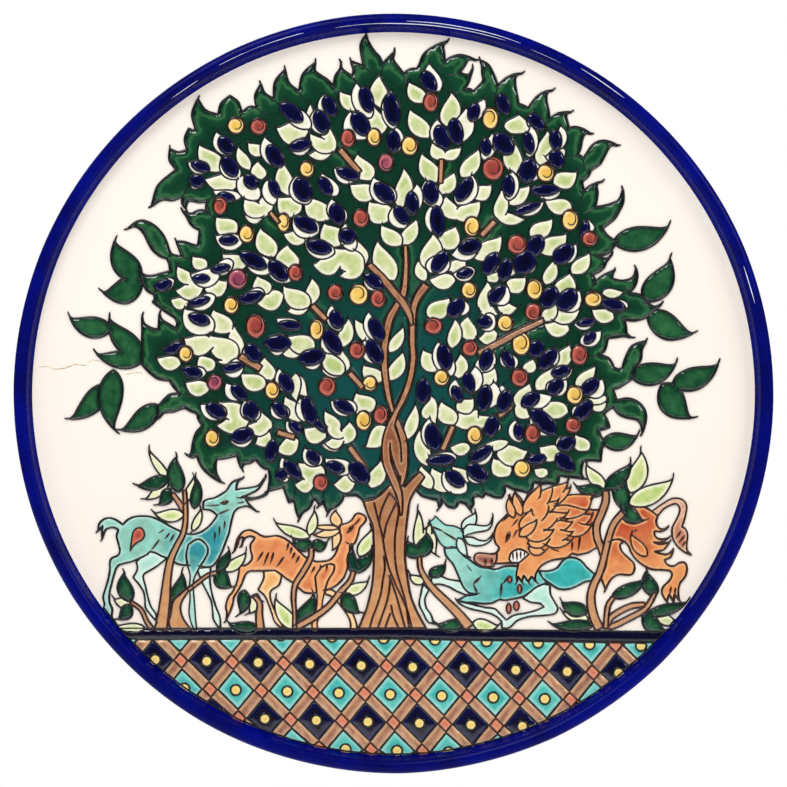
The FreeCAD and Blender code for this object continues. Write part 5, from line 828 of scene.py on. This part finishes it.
class PLATE_OT_body(bpy.types.Operator):
    """Turn the dish, its foot ring, the white ground and the cobalt lip"""
    bl_idname = "plate.body"
    bl_label = "Plate body"

    def execute(self, context):
        wobble = context.scene.plate_body.wobble
        clay = back_clay()
        under = FACE_Y + 2 * GLAZE
        back = [(0.0, under), (WELL_RADIUS, under)]
        back += arc(LIP_R, LIP_Y, LIP - LIP_GLAZE, 165, -40, 14)
        reach = PLATE_RADIUS - FLAT_BACK
        rise = BACK_Y - LIP_HIGH[1]
        for step in range(1, SWEEP_STEPS + 1):
            turn = math.pi / 2 * (1 - step / SWEEP_STEPS)
            back.append((FLAT_BACK + reach * math.sin(turn), BACK_Y - rise * (1 - math.cos(turn))))
        back += [(FOOT_RADIUS + 0.002, BACK_Y), (0.0, BACK_Y)]
        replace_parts(spun("thrown_dish", back, clay), "clay_dish")
        foot = [(FOOT_RADIUS - 0.008, BACK_Y - 0.0002), (FOOT_RADIUS - 0.0079, -0.0012)]
        foot += [(FOOT_RADIUS - 0.0068, -0.0002), (FOOT_RADIUS - 0.0015, 0.0)]
        foot += [(FOOT_RADIUS - 0.0004, -0.0006), (FOOT_RADIUS, -0.0018)]
        foot += [(FOOT_RADIUS, BACK_Y + 0.0015), (FOOT_RADIUS, BACK_Y - 0.0002)]
        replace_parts(spun("turned_foot_ring", foot, clay), "foot_ring")
        white = white_ground()
        rings = [(0.0, FACE_Y + 0.0004), (WELL_RADIUS + 0.0006, FACE_Y + 0.0004)]
        rings += [(WELL_RADIUS + 0.0004, FACE_Y - 0.0006), (WELL_RADIUS - 0.0008, FACE_Y - 0.0001)]
        rings += [(WELL_RADIUS - 0.003, FACE_Y), (0.0, FACE_Y)]
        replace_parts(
            spun("white_ground", rings, white), "white_ground_glaze"
        )
        rim = [(WELL_RADIUS - 0.0006, FACE_Y - 0.00012), (WELL_RADIUS + 0.0001, FACE_Y - 0.0009)]
        rim += arc(LIP_R, LIP_Y, LIP, 168, -32, 20)
        rim += arc(LIP_R, LIP_Y, LIP - LIP_GLAZE, -32, 168, 16)
        rim += [(WELL_RADIUS + 0.0009, FACE_Y - 0.0001)]
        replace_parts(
            spun("cobalt_lip", rim, cobalt_rim(), wobble=wobble), "rim_glaze"
        )
        return {"FINISHED"}


# Painted highlight: thin pale glints of light on the glossy lip, laid as lines of pale glaze: angle
# from and to in degrees, radius
LIP_PAINTED_GLINTS = ((62, 99, 0.1482), (70, 88, 0.1491), (52, 60, 0.1500), (104, 118, 0.1487),
               (122, 127, 0.1478), (14, 20, 0.1490))


class PLATE_OT_painted_glints(bpy.types.Operator):
    """Lay the painted highlight: pale glints of light as thin lines on the lip"""
    bl_idname = "plate.streaks"
    bl_label = "Lip streaks"

    def execute(self, context):
        builder = Builder()
        for start, end, radius in LIP_PAINTED_GLINTS:
            turns = [math.radians(start + (end - start) * i / 40) for i in range(41)]
            strays = [radius + 0.0003 * noise.noise(Vector((turn * 9, radius * 900, 0)))
                      for turn in turns]
            path = np.array([(r * math.cos(t), r * math.sin(t)) for r, t in zip(strays, turns)])
            rise = math.sqrt(LIP * LIP - (radius - LIP_R) ** 2)
            trailed_line(builder, path, LIP_Y - rise + 0.00002, 0.00035, 0.00004,
                         is_closed=False, taper=True)
        # The pale bluish lines are painted highlights, glints of light on the glossy cobalt lip
        builder.piece("lip_painted_glints", line_glaze("painted_glint", (214, 220, 240)),
                      SLOTS["rim_glaze"])
        return {"FINISHED"}


# Runs of the crack, as x, z in millimetres
HAIRLINE = (
    ((-142.5, 10.6), (-139, 11.0), (-136, 9.7), (-132, 10.2), (-128, 11.8), (-124, 11.2),
     (-121, 13.6), (-117.5, 12.8)),
    ((-107.5, 7.6), (-104, 8.6), (-101, 8.2)),
)


class PLATE_OT_hairline(bpy.types.Operator):
    """Draw the hairline crack in the white ground"""
    bl_idname = "plate.hairline"
    bl_label = "Hairline crack"

    def execute(self, context):
        builder = Builder()
        for row in HAIRLINE:
            path = np.array([(x * MM, z * MM) for x, z in row])
            trailed_line(builder, path, FACE_Y, 0.00045, 0.00003, is_closed=False, taper=True)
        builder.piece("hairline_crack", line_glaze("hairline", (176, 150, 124)),
                      SLOTS["figure_lines"])
        return {"FINISHED"}


class PLATE_OT_crown(bpy.types.Operator):
    """Paint the crown with its leaves, olives and fruits"""
    bl_idname = "plate.crown"
    bl_label = "Crown"

    def execute(self, context):
        paint(painted(("canopy", "outer_leaves")), "crown_lines")
        paint(painted(("pale_leaves",)), "leaf_lines")
        paint(painted(("olive",)), "olive_lines")
        paint(painted(("yellow", "red", "plum")), "fruit_lines")
        return {"FINISHED"}


class PLATE_OT_fruit_curls(bpy.types.Operator):
    """Trail the curl inside every fruit"""
    bl_idname = "plate.fruit_curls"
    bl_label = "Fruit curls"

    def execute(self, context):
        builder = Builder()
        for node in painted(("yellow_fruits", "red_fruits", "plum_fruits")):
            low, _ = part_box(node)
            base = low[1] - context.scene.plate_paint.dome
            for loops in front_islands(node):
                border = max(loops, key=len)  # the outer one
                centre = (border.min(axis=0) + border.max(axis=0)) / 2
                half = (border.max(axis=0) - border.min(axis=0)) / 2
                start = noise.noise(Vector((centre[0], centre[1], 0)) * 7000) * math.pi + 2.2
                path = []
                for i in range(17):
                    turn = start - i * 0.28
                    reach = 0.94 - 0.036 * i
                    path.append(centre + half * reach * np.array([math.cos(turn), math.sin(turn)]))
                trailed_line(builder, np.array(path), base, 0.00055, 0.0002,
                             is_closed=False, taper=True)
        material = bpy.data.materials.get("line_maroon") or line_glaze("line_maroon", MAROON)
        builder.piece("fruit_curls", material, SLOTS["trunk_lines"])
        return {"FINISHED"}


class PLATE_OT_wood(bpy.types.Operator):
    """Paint the trunk, its strands and the branches"""
    bl_idname = "plate.wood"
    bl_label = "Wood"

    def execute(self, context):
        paint(painted(("trunk", "branches", "fruit_stems")), "wood_lines")
        return {"FINISHED"}


class PLATE_OT_saplings(bpy.types.Operator):
    """Paint the saplings among the animals"""
    bl_idname = "plate.saplings"
    bl_label = "Saplings"

    def execute(self, context):
        paint(painted(("left_", "middle_", "right_")), "sapling_lines")
        return {"FINISHED"}


class PLATE_OT_animals(bpy.types.Operator):
    """Paint the buck, the doe, the gazelle and the lion"""
    bl_idname = "plate.animals"
    bl_label = "Animals"

    def execute(self, context):
        paint(painted(("buck", "doe", "gazelle", "lion", "flank", "figure")), "animal_lines")
        return {"FINISHED"}


class PLATE_OT_lattice(bpy.types.Operator):
    """Paint the ground line and the diamond lattice"""
    bl_idname = "plate.lattice"
    bl_label = "Lattice"

    def execute(self, context):
        nodes = ("lattice", "cobalt", "turquoise", "diamond", "ground_line")
        paint(painted(nodes), "lattice_lines")
        return {"FINISHED"}


class PLATE_OT_stage(bpy.types.Operator):
    """Add the floor, the lights, the background and the camera"""
    bl_idname = "plate.stage"
    bl_label = "Stage"

    def execute(self, context):
        scene = context.scene
        bpy.ops.object.select_all(action="DESELECT")
        bpy.ops.mesh.primitive_plane_add(size=1.9, location=(0, -0.1, -0.30))
        floor = context.object
        floor.name = "floor"
        floor.data.materials.append(plain("floor_paper", srgb(244, 242, 240)))
        softbox("key_light", (-0.35, -0.75, 0.95), 0.5, 7.0)
        softbox("side_light", (0.95, -0.55, 0.55), 0.35, 3.0)
        softbox("back_light", (-0.5, 1.0, 0.7), 0.8, 8.0)
        world = bpy.data.worlds.new("studio")
        world.use_nodes = True
        nodes = world.node_tree.nodes
        links = world.node_tree.links
        background = nodes["Background"]
        path = nodes.new("ShaderNodeLightPath")
        dim = nodes.new("ShaderNodeMapRange")
        dim.inputs["To Min"].default_value = 0.66
        dim.inputs["To Max"].default_value = 0.02
        links.new(path.outputs["Is Glossy Ray"], dim.inputs["Value"])
        seen = nodes.new("ShaderNodeMath")
        seen.operation = "MAXIMUM"
        links.new(dim.outputs["Result"], seen.inputs[0])
        links.new(path.outputs["Is Camera Ray"], seen.inputs[1])
        links.new(seen.outputs[0], background.inputs["Strength"])
        background.inputs["Color"].default_value = (1, 1, 1, 1)
        scene.world = world
        scene.view_settings.view_transform = "Standard"
        data = bpy.data.cameras.new("camera")
        data.lens = 120
        data.sensor_width = 36
        shown = PLATE_RADIUS * 2 * 787 / 762
        camera = bpy.data.objects.new("camera", data)
        camera.location = (0, LIP_LOW[1] - shown * data.lens / data.sensor_width, 0)
        camera.rotation_euler = (math.pi / 2, 0, 0)
        scene.collection.objects.link(camera)
        scene.camera = camera
        return {"FINISHED"}


def plain(name, colour):
    material = bpy.data.materials.new(name)
    material.use_nodes = True
    shader = material.node_tree.nodes["Principled BSDF"]
    shader.inputs["Base Color"].default_value = (*colour, 1)
    shader.inputs["Roughness"].default_value = 0.9
    return material


def softbox(name, place, size, power):
    data = bpy.data.lights.new(name, "AREA")
    data.size = size
    data.energy = power
    light = bpy.data.objects.new(name, data)
    light.location = place
    light.rotation_euler = (-Vector(place)).to_track_quat("-Z", "Y").to_euler()
    bpy.context.scene.collection.objects.link(light)


OPERATORS = (
    PLATE_OT_body, PLATE_OT_painted_glints, PLATE_OT_hairline, PLATE_OT_crown, PLATE_OT_fruit_curls,
    PLATE_OT_wood, PLATE_OT_saplings, PLATE_OT_animals, PLATE_OT_lattice, PLATE_OT_stage,
)


class PLATE_PT_panel(bpy.types.Panel):
    """Lists the plate's steps in the order of making"""
    bl_idname = "PLATE_PT_panel"
    bl_label = "Plate"
    bl_space_type = "VIEW_3D"
    bl_region_type = "UI"
    bl_category = "Plate"

    def draw(self, context):
        for group in (context.scene.plate_body, context.scene.plate_paint):
            for key in group.bl_rna.properties.keys():
                if key not in ("rna_type", "name"):
                    self.layout.prop(group, key)
        for operator in OPERATORS:
            self.layout.operator(operator.bl_idname)


CLASSES = (PlateBodySettings, PaintSettings) + OPERATORS + (PLATE_PT_panel,)


def register():
    for cls in CLASSES:
        bpy.utils.register_class(cls)
    bpy.types.Scene.plate_body = PointerProperty(type=PlateBodySettings)
    bpy.types.Scene.plate_paint = PointerProperty(type=PaintSettings)


def unregister():
    del bpy.types.Scene.plate_paint
    del bpy.types.Scene.plate_body
    for cls in reversed(CLASSES):
        bpy.utils.unregister_class(cls)


def main():
    register()
    bpy.ops.plate.body()
    # Lays the painted highlight of glints on the lip
    bpy.ops.plate.streaks()
    bpy.ops.plate.hairline()
    bpy.ops.plate.crown()
    bpy.ops.plate.fruit_curls()
    bpy.ops.plate.wood()
    bpy.ops.plate.saplings()
    bpy.ops.plate.animals()
    bpy.ops.plate.lattice()
    bpy.ops.plate.stage()


if __name__ == "__main__":
    main()
